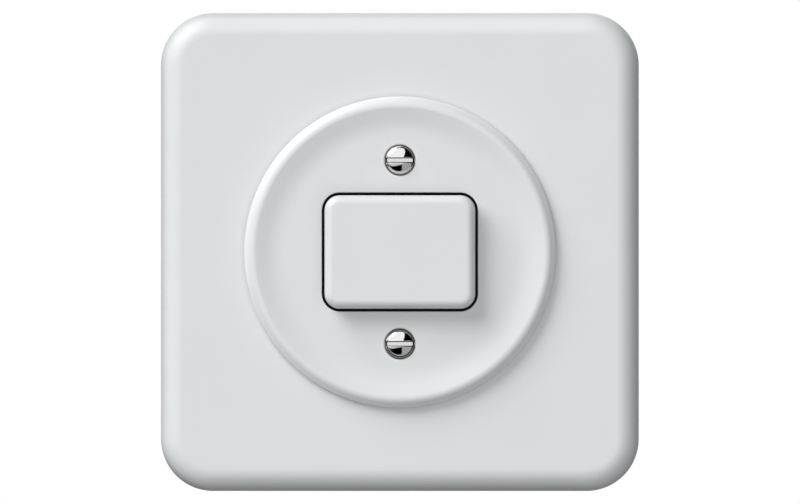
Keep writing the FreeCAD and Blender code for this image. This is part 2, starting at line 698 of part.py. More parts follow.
def tappet_spring():
    """Leaf in the plunger's stem, with a rolled tip that finds the rocker's pockets."""
    strip = box(both(LEAF_T / 2), (leaf_grip()[0], LEAF_TIP_Y), both(LEAF_W / 2))
    return joined(strip, cross_rod(LEAF_TIP_R, LEAF_W / 2, LEAF_TIP_Y))


def rocker():
    """Bistable rocker: ridge, two pockets, hub and spring tube, tilted to its rest position."""
    half = ROCKER_W / 2
    horn_x = POCKET_X + POCKET_R
    right = [(horn_x, -POCKET_Y), (horn_x, -ROCKER_HORN), (half, -ROCKER_HORN), (half, ROCKER_HEEL)]
    left = [(-x, y) for x, y in reversed(right)]
    outline = [(0, -ROCKER_RIDGE)] + right + left + [(0, -ROCKER_RIDGE)]
    edges = [line(a, b) for a, b in zip(outline, outline[1:])]
    blade = Part.Face(Part.Wire(edges)).extrude(AXIS_Z * ROCKER_L)
    blade = at(blade, 0, ROCKER_Y, -ROCKER_L / 2)
    hub = cross_rod(AXLE_R + HUB_WALL, ROCKER_L / 2, ROCKER_Y)
    tube = rod(TUBE_R, (ROCKER_Y, ROCKER_Y + TUBE_L))
    body = joined(blade, hub, tube)
    cuts = [cross_rod(POCKET_R, ROCKER_L / 2, ROCKER_Y - POCKET_Y, side * POCKET_X) for side in (-1, 1)]
    cuts.append(cross_rod(AXLE_R, ROCKER_L / 2, ROCKER_Y))
    cuts.append(rod(PIN_R + PIN_CLEAR, (ROCKER_Y + TUBE_SEAT, ROCKER_Y + TUBE_L)))
    return tilted(body.cut(cuts), ROCKER_Y, -ROCKER_TILT)


def rocker_axle():
    """Steel pin through the rocker's hub, turning in the split bearings."""
    return cross_rod(AXLE_R, CHEEK_INNER + CHEEK_T, ROCKER_Y)


def contact_pin():
    """Round-nosed pin that slides in the rocker's tube and rides on the contact lever."""
    shank_end = PIN_TOP_Y + PIN_SHANK
    slant = PIN_NOSE_R * math.sqrt(0.5)
    nose_mid = (slant, PIN_NOSE_Y + slant)
    corners = [
        (PIN_NOSE_R, PIN_NOSE_Y),
        (PIN_R, shank_end),
        (PIN_R, PIN_TOP_Y),
        (0, PIN_TOP_Y),
        (0, PIN_NOSE_Y + PIN_NOSE_R),
    ]
    edges = [arc((0, PIN_NOSE_Y + PIN_NOSE_R), nose_mid, (PIN_NOSE_R, PIN_NOSE_Y))]
    edges += [line(a, b) for a, b in zip(corners, corners[1:])]
    return tilted(turned(edges), ROCKER_Y, -ROCKER_TILT)


def contact_spring():
    """Small coil spring between the rocker's tube seat and the contact pin."""
    seat = ROCKER_Y + TUBE_SEAT
    spring = coil(CONTACT_SPRING_R, CONTACT_SPRING_WIRE_R, CONTACT_SPRING_TURNS, PIN_TOP_Y - seat)
    return tilted(at(spring, y=seat), ROCKER_Y, -ROCKER_TILT)


def contact_lever():
    """Brass see-saw with round trunnions, tilted so that its right contact is closed."""
    span = (LEVER_Y - LEVER_T / 2, LEVER_Y + LEVER_T / 2)
    strip = prism(2 * (CONTACT_ARM + LEVER_END), LEVER_W, LEVER_END, span)
    reach = LEVER_W / 2 + EAR_CLEAR + EAR_T
    waist = cross_rod(TRUNNION_R, LEVER_W / 2 - TRUNNION_R, LEVER_Y)
    lever = joined(strip, cross_rod(TRUNNION_R, reach, LEVER_Y).cut(waist))
    lever = lever.cut([rod(CONTACT_RIVET_R, span, side * CONTACT_ARM) for side in (-1, 1)])
    return tilted(lever, LEVER_Y, LEVER_TILT)


def moving_contacts():
    """Two domed silver rivets in the ends of the lever."""
    face = LEVER_Y + LEVER_T / 2
    dome_centre = FreeCAD.Vector(0, LEVER_Y + DOME_CENTRE, 0)
    head = rod(CONTACT_R, (face, face + CONTACT_H)).common(Part.makeSphere(CONTACT_DOME_R, dome_centre))
    rivet = joined(head, rod(CONTACT_RIVET_R, (face - LEVER_T, face)))
    pair = [at(rivet, x=side * CONTACT_ARM) for side in (-1, 1)]
    return tilted(Part.Compound(pair), LEVER_Y, LEVER_TILT)


def fixed_contacts():
    """Two flat silver rivets on the contact strips."""
    rivet = joined(
        rod(CONTACT_R, (FIXED_TOP, STRIP_FRONT)), rod(CONTACT_RIVET_R, (STRIP_FRONT, STRIP_REAR))
    )
    return Part.Compound([at(rivet, x=side * CONTACT_X) for side in (-1, 1)])


def contact_strip_right():
    """Brass strip from the right fixed contact to the foot of the right terminal block."""
    span = (STRIP_FRONT, STRIP_REAR)
    inner = CONTACT_X - STRIP_PAD
    outer = BLOCK_INNER + STRIP_LAP
    strip = box((inner, outer), span, both(STRIP_W / 2))
    return strip.cut(rod(CONTACT_RIVET_R, span, CONTACT_X))


def contact_strip_left():
    """Mirror image of the right strip."""
    return contact_strip_right().mirror(ORIGIN, AXIS_X)


def fulcrum_strip():
    """Brass strip with two notched ears for the lever and a leg to the common terminal."""
    span = (STRIP_FRONT, STRIP_REAR)
    ear_inner = LEVER_W / 2 + EAR_CLEAR
    leg_x = (COMMON_X - LEG_W / 2, COMMON_X + LEG_W / 2)
    leg_end = -(COMMON_Z - BLOCK_W / 2) - STRIP_LAP
    plate = box((-EAR_HALF, leg_x[1]), span, both(ear_inner + EAR_T))
    leg = box(leg_x, span, (leg_end, 0))
    ear_y = (LEVER_Y - EAR_TOP, STRIP_REAR)
    ear = box(both(EAR_HALF), ear_y, (ear_inner, ear_inner + EAR_T))
    notch_r = TRUNNION_R + TRUNNION_CLEAR
    notch_half = ear_inner + EAR_T
    mouth = box(both(notch_r), (LEVER_Y - EAR_TOP, LEVER_Y), both(notch_half))
    strip = joined(plate, leg, ear, ear.mirror(ORIGIN, AXIS_Z))
    return strip.cut([mouth, cross_rod(notch_r, notch_half, LEVER_Y)])


def terminal_block(name):
    """Brass block with a wire bore along Y and a threaded hole for its clamp screw."""
    span = (BLOCK_FRONT, STRIP_FRONT)
    block = box(both(BLOCK_W / 2), span, both(BLOCK_H / 2))
    thread = rod(CLAMP_R + THREAD_CLEAR, (0, BLOCK_W / 2)).rotated(ORIGIN, AXIS_Z, -RIGHT_ANGLE)
    block = block.cut([rod(WIRE_BORE_R, span), at(thread, y=BLOCK_MID)])
    return at_terminal(block, name)


def terminal_screws():
    """Three clamp screws, backed out clear of the wire bores."""
    tip = WIRE_BORE_R + CLAMP_TIP_GAP
    head_inner = BLOCK_W / 2 + BLOCK_CLEAR + SHELL_WALL - CLAMP_HEAD_L
    screw = slotted_screw(CLAMP_R, CLAMP_HEAD_R, CLAMP_HEAD_L, head_inner - tip)
    screw = at(screw.rotated(ORIGIN, AXIS_Z, RIGHT_ANGLE), head_inner, BLOCK_MID)
    return Part.Compound([at_terminal(screw, name) for name in TERMINALS])


NODES = {
    "cover_plate": cover_plate,
    "cover_disc": cover_disc,
    "disc_screws": disc_screws,
    "threaded_bushes": threaded_bushes,
    "mounting_plate": mounting_plate,
    "insert_screws": insert_screws,
    "housing_cover": housing_cover,
    "housing_base": housing_base,
    "housing_screws": housing_screws,
    "button_cap": button_cap,
    "plunger": plunger,
    "return_spring_left": lambda: return_spring(-1),
    "return_spring_right": lambda: return_spring(1),
    "tappet_spring": tappet_spring,
    "rocker": rocker,
    "rocker_axle": rocker_axle,
    "contact_pin": contact_pin,
    "contact_spring": contact_spring,
    "contact_lever": contact_lever,
    "moving_contacts": moving_contacts,
    "fixed_contacts": fixed_contacts,
    "contact_strip_left": contact_strip_left,
    "contact_strip_right": contact_strip_right,
    "fulcrum_strip": fulcrum_strip,
    "terminal_block_left": lambda: terminal_block("left"),
    "terminal_block_right": lambda: terminal_block("right"),
    "terminal_block_common": lambda: terminal_block("common"),
    "terminal_screws": terminal_screws,
}

os.makedirs("parts", exist_ok=True)
for name, make in NODES.items():
    make().exportStep(os.path.join("parts", name + ".step"))
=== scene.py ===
import logging
import math
from dataclasses import dataclass
from enum import Enum

import bmesh
import bpy
import numpy as np
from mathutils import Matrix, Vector, geometry


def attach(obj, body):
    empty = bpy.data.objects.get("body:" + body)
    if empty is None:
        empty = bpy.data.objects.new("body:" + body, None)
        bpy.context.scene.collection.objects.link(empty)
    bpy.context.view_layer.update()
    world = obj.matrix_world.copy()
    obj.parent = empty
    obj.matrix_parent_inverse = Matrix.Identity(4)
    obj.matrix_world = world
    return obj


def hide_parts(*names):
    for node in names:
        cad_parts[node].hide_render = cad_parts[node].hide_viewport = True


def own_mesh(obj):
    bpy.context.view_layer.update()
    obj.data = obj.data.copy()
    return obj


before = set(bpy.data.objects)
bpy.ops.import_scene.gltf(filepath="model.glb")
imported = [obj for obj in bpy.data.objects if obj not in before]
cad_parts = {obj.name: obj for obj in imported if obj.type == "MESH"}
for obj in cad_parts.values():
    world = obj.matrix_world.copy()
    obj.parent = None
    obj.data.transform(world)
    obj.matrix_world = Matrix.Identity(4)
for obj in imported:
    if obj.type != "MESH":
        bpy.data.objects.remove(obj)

# Push button wall switch: a square cover, a dished disc held by two slotted screws, a button, and
# the changeover insert behind them. Sizes are in millimetres in the frame's axes: X to the right,
# Z up and Y into the wall, with the wall plane at Y = 0. Meshes are written in metres.

Array = np.ndarray
Colour = tuple[float, float, float]
Items = bpy.types.bpy_prop_collection
Pair = tuple[float, float]
Point = tuple[float, float, float]
Material = bpy.types.Material
Mesh = bpy.types.Mesh
Socket = bpy.types.NodeSocket
Sockets = bpy.types.bpy_prop_collection
Thing = bpy.types.Object

MM = 0.001
TINY = 1e-6
WELD = 1e-4
WELD_SHIFT = 0.137
FILL_TOLERANCE = WELD / 10
TRIANGLES_INSIDE = 1
WHITE = (1.0, 1.0, 1.0, 1.0)
EDGE_ATTRIBUTE = "convexity"
RADIUS_ATTRIBUTE = "turning"
GAP_ATTRIBUTE = "gap"
FULL_TURN = 2 * math.pi
QUARTER = math.pi / 2
HALF_TURN = np.array([-1.0, 1.0, -1.0])
SIDES = (-1, 1)
CORNERS = [(x, z) for x in SIDES for z in SIDES]

log = logging.getLogger("switch")


class Body(Enum):
    """The moving bodies of the switch."""

    FIXED = "switch_body"
    BUTTON = "button"
    ROCKER = "rocker"
    PIN = "contact_pin"
    LEVER = "contact_lever"


class Slot(Enum):
    """Material slots of the part's record."""

    COVER = "cover_white"
    BUTTON = "button_white"
    NICKEL = "screw_nickel"
    ZINC = "screw_zinc"
    PLATE = "plate_steel"
    HOUSING = "housing_grey"
    PLUNGER = "plunger_black"
    ROCKER = "rocker_ivory"
    SPRING = "spring_steel"
    BRASS = "brass"
    SILVER = "contact_silver"


class Facing(Enum):
    """The way that a screw's head faces, as the images of the local X, Y and Z axes.

    A screw is worked out with its head towards -Y and its slot along X.
    """

    FRONT = ((1, 0, 0), (0, 1, 0), (0, 0, 1))
    REAR = ((1, 0, 0), (0, -1, 0), (0, 0, -1))
    RIGHT = ((0, 1, 0), (-1, 0, 0), (0, 0, 1))
    LEFT = ((0, -1, 0), (1, 0, 0), (0, 0, 1))
    DOWN = ((0, 1, 0), (0, 0, 1), (1, 0, 0))

    def turn(self, points: Array) -> Array:
        """Turns local points this way."""
        return points @ np.array(self.value, float)

    def back(self, points: Array) -> Array:
        """Turns points that face this way back into local ones."""
        return points @ np.array(self.value, float).T


Seats = list[tuple[Facing, Point]]


def spin(angle: float) -> Array:
    """Matrix that turns rows of two coordinates by an angle in radians."""
    c, s = math.cos(angle), math.sin(angle)
    return np.array([[c, s], [-s, c]])


@dataclass(frozen=True)
class Loop:
    """A closed path across X and Z, as points and outward unit normals, each of shape (n, 2)."""

    points: Array
    normals: Array

    def offset(self, distance: float) -> Array:
        """Points of the path moved outwards by a distance along their normals."""
        return self.points + distance * self.normals

    def moved(self, x: float, z: float) -> "Loop":
        """The same path about another centre."""
        return Loop(self.points + np.array([x, z]), self.normals)

    def turned(self, angle: float) -> "Loop":
        """The path turned about the origin, in radians from X towards Z."""
        return Loop(self.points @ spin(angle), self.normals @ spin(angle))


def circle(radius: float, count: int) -> Loop:
    """Circle about the origin: the radius times (cos, sin) of evenly spaced angles.

    Args:
        radius: Radius in millimetres.
        count: Number of points.

    Returns:
        The path, anticlockwise from X towards Z.
    """
    angle = np.arange(count) * FULL_TURN / count
    normals = np.column_stack([np.cos(angle), np.sin(angle)])
    return Loop(radius * normals, normals)


def spokes(count: int) -> Loop:
    """Evenly spaced directions from the origin, along which a profile's offsets are radii."""
    ring = circle(1.0, count)
    return Loop(np.zeros_like(ring.points), ring.normals)


def rounded_rectangle(width: float, height: float, radius: float, corner: int, side: int) -> Loop:
    """Rectangle with round corners: quarter circles about the corner centres and straight sides.

    Args:
        width: Size along X.
        height: Size along Z.
        radius: Corner radius.
        corner: Steps in each quarter circle.
        side: Steps in each straight side.

    Returns:
        The path, anticlockwise from the lower end of the right side.
    """
    reach = np.array([width / 2 - radius, height / 2 - radius])
    signs = np.array([[1, -1], [1, 1], [-1, 1], [-1, -1]])
    start = np.arange(4)[:, None] * QUARTER - QUARTER
    angle = start + np.linspace(0, QUARTER, corner + 1)
    arc_normals = np.stack([np.cos(angle), np.sin(angle)], axis=-1)
    arcs = (signs * reach)[:, None, :] + radius * arc_normals
    share = np.arange(1, side)[:, None] / side
    ends = arcs[:, -1:, :]
    sides = ends + share * (np.roll(arcs[:, :1, :], -1, axis=0) - ends)
    side_normals = np.broadcast_to(arc_normals[:, -1:, :], sides.shape)
    points = np.concatenate([arcs, sides], axis=1).reshape(-1, 2)
    return Loop(points, np.concatenate([arc_normals, side_normals], axis=1).reshape(-1, 2))


def circle_facing(path: Loop, radius: float) -> Loop:
    """Circle whose points lie on the same rays from the origin as another path's points."""
    rays = path.points / np.linalg.norm(path.points, axis=1, keepdims=True)
    return Loop(radius * rays, rays)


def bend(centre: Pair, radius: float, start: float, end: float, steps: int) -> Array:
    """Arc of a profile: centre + radius * (sin t, -cos t) as t goes from start to end.

    The tilt t is 0 where the surface faces the front and a quarter turn where it faces outwards.

    Args:
        centre: (offset, depth) of the arc's centre.
        radius: Arc radius.
        start: First tilt in degrees.
        end: Last tilt in degrees.
        steps: Number of steps.

    Returns:
        (offset, depth) points of shape (steps + 1, 2).
    """
    t = np.radians(np.linspace(start, end, steps + 1))
    return np.column_stack([centre[0] + radius * np.sin(t), centre[1] - radius * np.cos(t)])


def profile(*parts: Array | list[Pair]) -> Array:
    """Profile joined from arcs and lists of (offset, depth) corners."""
    return np.vstack([np.asarray(part, float).reshape(-1, 2) for part in parts])


def carry(path: Loop, section: Array) -> Array:
    """Profile carried along a path: point(i) + offset(j) * normal(i) across, depth(j) along Y.

    Args:
        path: Closed path of n points.
        section: (offset, depth) points of shape (m, 2).

    Returns:
        Grid of points of shape (n, m, 3).
    """
    flat = path.points[:, None, :] + section[None, :, :1] * path.normals[:, None, :]
    depth = np.broadcast_to(section[None, :, 1:], flat.shape[:2] + (1,))
    return np.concatenate([flat[..., :1], depth, flat[..., 1:]], axis=-1)


def capped(path: Loop, section: Array) -> Array:
    """Profile carried along a path, with both ends drawn to the path's middle as fans of triangles.

    Args:
        path: Closed path of n points.
        section: (offset, depth) points of shape (m, 2).

    Returns:
        Grid of points of shape (n, m + 2, 3).
    """
    x, z = path.points.mean(axis=0)
    ends = section[[0, -1], 1]
    hubs = [np.broadcast_to([x, depth, z], (len(path.points), 1, 3)) for depth in ends]
    return np.concatenate([hubs[0], carry(path, section), hubs[1]], axis=1)


def swept(radius: Array | float, angle: Array, depth: Array | float) -> Array:
    """Points about the Y axis: (radius cos angle, depth, radius sin angle)."""
    x, z = radius * np.cos(angle), radius * np.sin(angle)
    return np.stack(np.broadcast_arrays(x, depth, z), axis=-1)


def inside(points: Array, outline: Array) -> Array:
    """Tells which points lie inside an outline, by counting the edges that a ray along X crosses.

    Args:
        points: Points of shape (n, 2).
        outline: Corners of shape (m, 2).

    Returns:
        Boolean array of shape (n,).
    """
    a, b = outline[None], np.roll(outline, -1, axis=0)[None]
    x, z = points[:, None, 0], points[:, None, 1]
    spans = (a[..., 1] > z) != (b[..., 1] > z)
    rise = np.where(spans, b[..., 1] - a[..., 1], 1.0)
    crossing = a[..., 0] + (z - a[..., 1]) * (b[..., 0] - a[..., 0]) / rise
    return (spans & (x < crossing)).sum(axis=1) % 2 == 1


def fetch(items: Items, name: str, width: int, kind: type = np.float32) -> Array:
    """Reads one property of all items of a mesh's list.

    Args:
        items: The list, such as the mesh's vertices.
        name: The property.
        width: Values per item.
        kind: Type of the values.

    Returns:
        Rows of shape (n, width).
    """
    values = np.zeros(len(items) * width, kind)
    items.foreach_get(name, values)
    return values.reshape(-1, width)


def store(mesh: Mesh, name: str, values: Array) -> None:
    """Stores one value per point of a mesh under an attribute's name."""
    layer = mesh.attributes.new(name, "FLOAT", "POINT")
    layer.data.foreach_set("value", values.astype(np.float32))


class Skin:
    """A closed surface of grids and flat fills in millimetres, welded where they meet."""

    def __init__(self) -> None:
        """Starts with no points."""
        self._points: list[Array] = []
        self._quads: list[Array] = [np.zeros((0, 4), int)]
        self._tris: list[Array] = [np.zeros((0, 3), int)]
        self._count = 0

    def _add(self, points: Array) -> int:
        """Keeps a block of points.

        Args:
            points: Points of shape (..., 3).

        Returns:
            Index of the first one.
        """
        start = self._count
        self._points.append(points.reshape(-1, 3))
        self._count += len(self._points[-1])
        return start

    def grid(self, points: Array, round_path: bool = True, round_section: bool = False) -> None:
        """Adds a grid of points as quads.

        Args:
            points: Grid of shape (n, m, 3).
            round_path: Joins the last row to the first.
            round_section: Joins the last column to the first.
        """
        n, m = points.shape[:2]
        index = self._add(points) + np.arange(n * m).reshape(n, m)
        if round_path:
            index = np.vstack([index, index[:1]])
        if round_section:
            index = np.hstack([index, index[:, :1]])
        corners = [index[:-1, :-1], index[1:, :-1], index[1:, 1:], index[:-1, 1:]]
        self._quads.append(np.stack(corners, axis=-1).reshape(-1, 4))

    def fill(self, outline: Array, holes: list[Array], depth: float) -> None:
        """Fills a flat region with triangles, all at one depth.

        They are the Delaunay triangles whose middles lie inside the outline and outside the holes.

        Args:
            outline: Outer corners of shape (n, 2).
            holes: Corners of each hole.
            depth: Depth along Y.
        """
        loops = [outline, *holes]
        starts = np.cumsum([0] + [len(loop) for loop in loops])
        spans = [np.arange(a, b) for a, b in zip(starts, starts[1:])]
        edges = np.vstack([np.column_stack([span, np.roll(span, -1)]) for span in spans])
        flat = [Vector(p) for p in np.vstack(loops)]
        found = geometry.delaunay_2d_cdt(
            flat, edges.tolist(), [], TRIANGLES_INSIDE, FILL_TOLERANCE
        )
        corners = np.array([tuple(p) for p in found[0]])
        tris = np.array(found[2])
        middles = corners[tris].mean(axis=1)
        keep = inside(middles, outline)
        for hole in holes:
            keep &= ~inside(middles, hole)
        points = np.column_stack([corners[:, 0], np.full(len(corners), depth), corners[:, 1]])
        self.take(points, tris[keep])

    def take(self, points: Array, tris: Array) -> None:
        """Adds loose triangles given as points of shape (n, 3) and indices of shape (m, 3)."""
        self._tris.append(self._add(points) + tris)

    def put(self, other: "Skin", facing: Facing, place: Point) -> None:
        """Adds a copy of another skin, turned and moved.

        Args:
            other: The skin to copy.
            facing: The way it is turned.
            place: Where its origin goes.
        """
        start = self._add(facing.turn(np.vstack(other._points)) + np.array(place))
        self._quads += [quads + start for quads in other._quads]
        self._tris += [tris + start for tris in other._tris]

    def mesh(self, name: str, crease: float = 38.0) -> Mesh:
        """Welds the points that coincide and writes the surface as a mesh in metres.

        Points that round to the same place on a fine lattice are one point, and a quad with two
        corners alike is a triangle.

        Args:
            name: The mesh's name.
            crease: Edges that turn by more than this many degrees are drawn sharp.

        Returns:
            The mesh, with faces outwards.
        """
        points = np.vstack(self._points)
        key = np.round(points / WELD + WELD_SHIFT).astype(np.int64)
        _, first, group = np.unique(key, axis=0, return_index=True, return_inverse=True)
        group = group.reshape(-1)
        quads, tris = group[np.vstack(self._quads)], group[np.vstack(self._tris)]
        same = quads == np.roll(quads, -1, axis=1)
        pinched = same.sum(axis=1)
        keep = (np.argmax(same[pinched == 1], axis=1)[:, None] + 1 + np.arange(3)) % 4
        tris = np.vstack([tris, np.take_along_axis(quads[pinched == 1], keep, axis=1)])
        tris = tris[(tris != np.roll(tris, -1, axis=1)).all(axis=1)]
        quads = quads[pinched == 0]
        corners = np.concatenate([quads.ravel(), tris.ravel()]).astype(np.int32)
        sizes = np.concatenate([np.full(len(quads), 4), np.full(len(tris), 3)])
        starts = np.concatenate([[0], np.cumsum(sizes)[:-1]]).astype(np.int32)
        mesh = bpy.data.meshes.new(name)
        mesh.vertices.add(len(first))
        mesh.vertices.foreach_set("co", (points[first] * MM).astype(np.float32).ravel())
        mesh.loops.add(len(corners))
        mesh.loops.foreach_set("vertex_index", corners)
        mesh.polygons.add(len(sizes))
        mesh.polygons.foreach_set("loop_start", starts)
        mesh.update(calc_edges=True)
        mesh.validate()
        face_outwards(mesh)
        mesh.polygons.foreach_set("use_smooth", np.ones(len(mesh.polygons), bool))
        mesh.set_sharp_from_angle(angle=math.radians(crease))
        mark_edges(mesh)
        return mesh


def face_outwards(mesh: Mesh) -> None:
    """Turns every face of a welded mesh outwards.

    Args:
        mesh: The mesh.
    """
    work = bmesh.new()
    work.from_mesh(mesh)
    bmesh.ops.recalc_face_normals(work, faces=work.faces)
    work.to_mesh(mesh)
    work.free()


def mark_edges(mesh: Mesh) -> None:
    """Stores how strongly each point's surface curves outwards, for finishes that wear on edges or
    carry a painted highlight there.

    Along each mesh edge the curvature is (normal b - normal a) . (b - a) / |b - a|^2, and a point
    takes the largest value of its edges, in radians per millimetre.

    Args:
        mesh: The mesh to mark.
    """
    a, b = fetch(mesh.edges, "vertices", 2, np.int32).T
    co, normal = fetch(mesh.vertices, "co", 3) / MM, fetch(mesh.vertices, "normal", 3)
    run = co[b] - co[a]
    bow = ((normal[b] - normal[a]) * run).sum(axis=1) / np.maximum((run**2).sum(axis=1), TINY)
    most = np.zeros(len(co), np.float32)
    for end in (a, b):
        np.maximum.at(most, end, bow)
    store(mesh, EDGE_ATTRIBUTE, most)


COLOUR, VALUE, VECTOR = "NodeSocketColor", "NodeSocketFloat", "NodeSocketVector"
SURFACE = {"Colour": COLOUR, "Roughness": VALUE, "Height": VALUE}
TINTED = {"Colour": COLOUR, "Mask": VALUE}
MIX_SOCKETS = {"RGBA": (6, 7, 2), "FLOAT": (2, 3, 0)}


class Nodes:
    """Adds linked nodes to one node tree."""

    def __init__(self, tree: bpy.types.NodeTree) -> None:
        """Keeps the tree and clears it."""
        self.tree = tree
        tree.nodes.clear()

    def add(self, kind: str, inputs: dict | None = None, **settings: object) -> bpy.types.Node:
        """Adds a node.

        Args:
            kind: Type of node.
            inputs: Values for its inputs, or sockets to link to them, by socket name or index.
            settings: Properties of the node.

        Returns:
            The node.
        """
        node = self.tree.nodes.new(kind)
        for name, value in settings.items():
            setattr(node, name, value)
        for socket, value in (inputs or {}).items():
            if isinstance(value, Socket):
                self.tree.links.new(value, node.inputs[socket])
            else:
                node.inputs[socket].default_value = value
        return node

    def place(self) -> Socket:
        """Object coordinates."""
        return self.add("ShaderNodeTexCoord").outputs["Object"]

    def attribute(self, name: str) -> Socket:
        """Value that a mesh stores at its points."""
        return self.add("ShaderNodeAttribute", attribute_name=name).outputs["Fac"]

    def noise(
        self, place: Socket, scale: Socket | float, detail: float, roughness: float
    ) -> Socket:
        """Noise in space, from 0 to 1."""
        given = {"Vector": place, "Scale": scale, "Detail": detail, "Roughness": roughness}
        return self.add("ShaderNodeTexNoise", given).outputs["Fac"]

    def scaled(self, source: Socket, low: float, high: float, least: float = 0.0) -> Socket:
        """Stretches the values from low to high over least to 1."""
        given = {"Value": source, "From Min": low, "From Max": high, "To Min": least}
        return self.add("ShaderNodeMapRange", given).outputs["Result"]

    def maths(self, operation: str, a: Socket, b: Socket, clamp: bool = False) -> Socket:
        """Result of an operation on two values."""
        node = self.add("ShaderNodeMath", {0: a, 1: b}, operation=operation, use_clamp=clamp)
        return node.outputs["Value"]

    def blend(self, kind: str, factor: Socket, first: object, second: object) -> Socket:
        """Mixes two colours or two values.

        Args:
            kind: RGBA for colours, FLOAT for values.
            factor: Share of the second.
            first: Socket or constant.
            second: Socket or constant.

        Returns:
            The mix.
        """
        a, b, result = MIX_SOCKETS[kind]
        given = {"Factor": factor, a: first, b: second}
        return self.add("ShaderNodeMix", given, data_type=kind).outputs[result]

    def group(self, effect: type["Effect"], inputs: dict) -> Sockets:
        """Outputs of a shared effect."""
        return self.add("ShaderNodeGroup", inputs, node_tree=effect.tree()).outputs


class Effect:
    """A shader node group that several finishes share, built once."""

    name: str
    inputs: dict[str, str]
    outputs: dict[str, str]

    @staticmethod
    def fill(nodes: Nodes, given: Sockets) -> tuple[Socket, ...]:
        """Adds the group's nodes.

        Args:
            nodes: The group's node tree.
            given: The sockets of its inputs.

        Returns:
            A socket for each output, in order.
        """
        raise NotImplementedError

    @classmethod
    def tree(cls) -> bpy.types.NodeTree:
        """Builds the group, or finds it if it is there.

        Returns:
            The group.
        """
        if cls.name in bpy.data.node_groups:
            return bpy.data.node_groups[cls.name]
        tree = bpy.data.node_groups.new(cls.name, "ShaderNodeTree")
        for way, sockets in (("INPUT", cls.inputs), ("OUTPUT", cls.outputs)):
            for socket, kind in sockets.items():
                tree.interface.new_socket(socket, in_out=way, socket_type=kind)
        nodes = Nodes(tree)
        results = cls.fill(nodes, nodes.add("NodeGroupInput").outputs)
        nodes.add("NodeGroupOutput", dict(zip(cls.outputs, results)))
        return tree


class MouldedSurface(Effect):
    """Moulded surface: a faint cloud of tone, and the mould's fine grain in gloss and height."""

    name = "moulded_surface"
    inputs = {
        "Light": COLOUR, "Dark": COLOUR, "Smooth": VALUE, "Rough": VALUE,
        "Cloud Scale": VALUE, "Grain Scale": VALUE,
    }
    outputs = SURFACE

    @staticmethod
    def fill(nodes: Nodes, given: Sockets) -> tuple[Socket, ...]:
        """Mixes light and dark over cloudy noise, and smooth and rough over fine noise.

        Args:
            nodes: The group's node tree.
            given: The sockets of its inputs.

        Returns:
            Colour, roughness and height.
        """
        place = nodes.place()
        cloud = nodes.noise(place, given["Cloud Scale"], detail=3.0, roughness=0.55)
        grain = nodes.noise(place, given["Grain Scale"], detail=2.0, roughness=0.6)
        tone = nodes.scaled(cloud, low=0.3, high=0.7)
        colour = nodes.blend("RGBA", tone, given["Light"], given["Dark"])
        return colour, nodes.blend("FLOAT", grain, given["Smooth"], given["Rough"]), grain


class FillerFlecks(Effect):
    """Filler flecks of a thermoset moulding, laid over a colour."""

    name = "filler_flecks"
    inputs = {"Colour": COLOUR, "Fleck": COLOUR, "Scale": VALUE}
    outputs = TINTED

    @staticmethod
    def fill(nodes: Nodes, given: Sockets) -> tuple[Socket, ...]:
        """Lays a spot round the middle of those cells whose random red is high.

        Args:
            nodes: The group's node tree.
            given: The sockets of its inputs.

        Returns:
            Colour and mask.
        """
        place = {"Vector": nodes.place(), "Scale": given["Scale"], "Randomness": 1.0}
        cells = nodes.add("ShaderNodeTexVoronoi", place).outputs
        spot = nodes.scaled(cells["Distance"], low=0.22, high=0.1)
        sparse = nodes.add("ShaderNodeSeparateColor", {"Color": cells["Color"]}).outputs["Red"]
        mask = nodes.maths("MULTIPLY", spot, nodes.scaled(sparse, low=0.72, high=0.9))
        return nodes.blend("RGBA", mask, given["Colour"], given["Fleck"]), mask


class RubbedEdgesAndHighlight(Effect):
    """Edges rubbed by handling and edges given a painted highlight: outward curvature of the surface,
    broken up by noise.
    """

    name = "rubbed_edges_and_highlight"
    inputs = {"Amount": VALUE, "Break Scale": VALUE}
    outputs = {"Mask": VALUE}

    @staticmethod
    def fill(nodes: Nodes, given: Sockets) -> tuple[Socket, ...]:
        """Multiplies the outward curvature by patchy noise and by the amount.

        Args:
            nodes: The group's node tree.
            given: The sockets of its inputs.

        Returns:
            The mask.
        """
        strong = nodes.scaled(nodes.attribute(EDGE_ATTRIBUTE), low=0.5, high=3.0)
        patchy = nodes.noise(nodes.place(), given["Break Scale"], detail=4.0, roughness=0.65)
        both = nodes.maths("MULTIPLY", strong, nodes.scaled(patchy, low=0.25, high=0.55))
        return (nodes.maths("MULTIPLY", both, given["Amount"], clamp=True),)


class MetalSurface(Effect):
    """Metal surface: clouds of tarnish and streaks drawn out along one axis."""

    name = "metal_surface"
    inputs = {
        "Bright": COLOUR, "Dull": COLOUR, "Smooth": VALUE, "Rough": VALUE,
        "Cloud Scale": VALUE, "Streaks": VECTOR,
    }
    outputs = SURFACE

    @staticmethod
    def fill(nodes: Nodes, given: Sockets) -> tuple[Socket, ...]:
        """Mixes bright and dull over cloudy noise, and smooth and rough over drawn-out noise.

        Args:
            nodes: The group's node tree.
            given: The sockets of its inputs.

        Returns:
            Colour, roughness and height.
        """
        place = nodes.place()
        cloud = nodes.noise(place, given["Cloud Scale"], detail=4.0, roughness=0.6)
        stretch = {0: place, 1: given["Streaks"]}
        drawn = nodes.add("ShaderNodeVectorMath", stretch, operation="MULTIPLY").outputs["Vector"]
        streak = nodes.noise(drawn, scale=1.0, detail=3.0, roughness=0.6)
        tone = nodes.scaled(cloud, low=0.35, high=0.7)
        colour = nodes.blend("RGBA", tone, given["Bright"], given["Dull"])
        return colour, nodes.blend("FLOAT", streak, given["Smooth"], given["Rough"]), streak


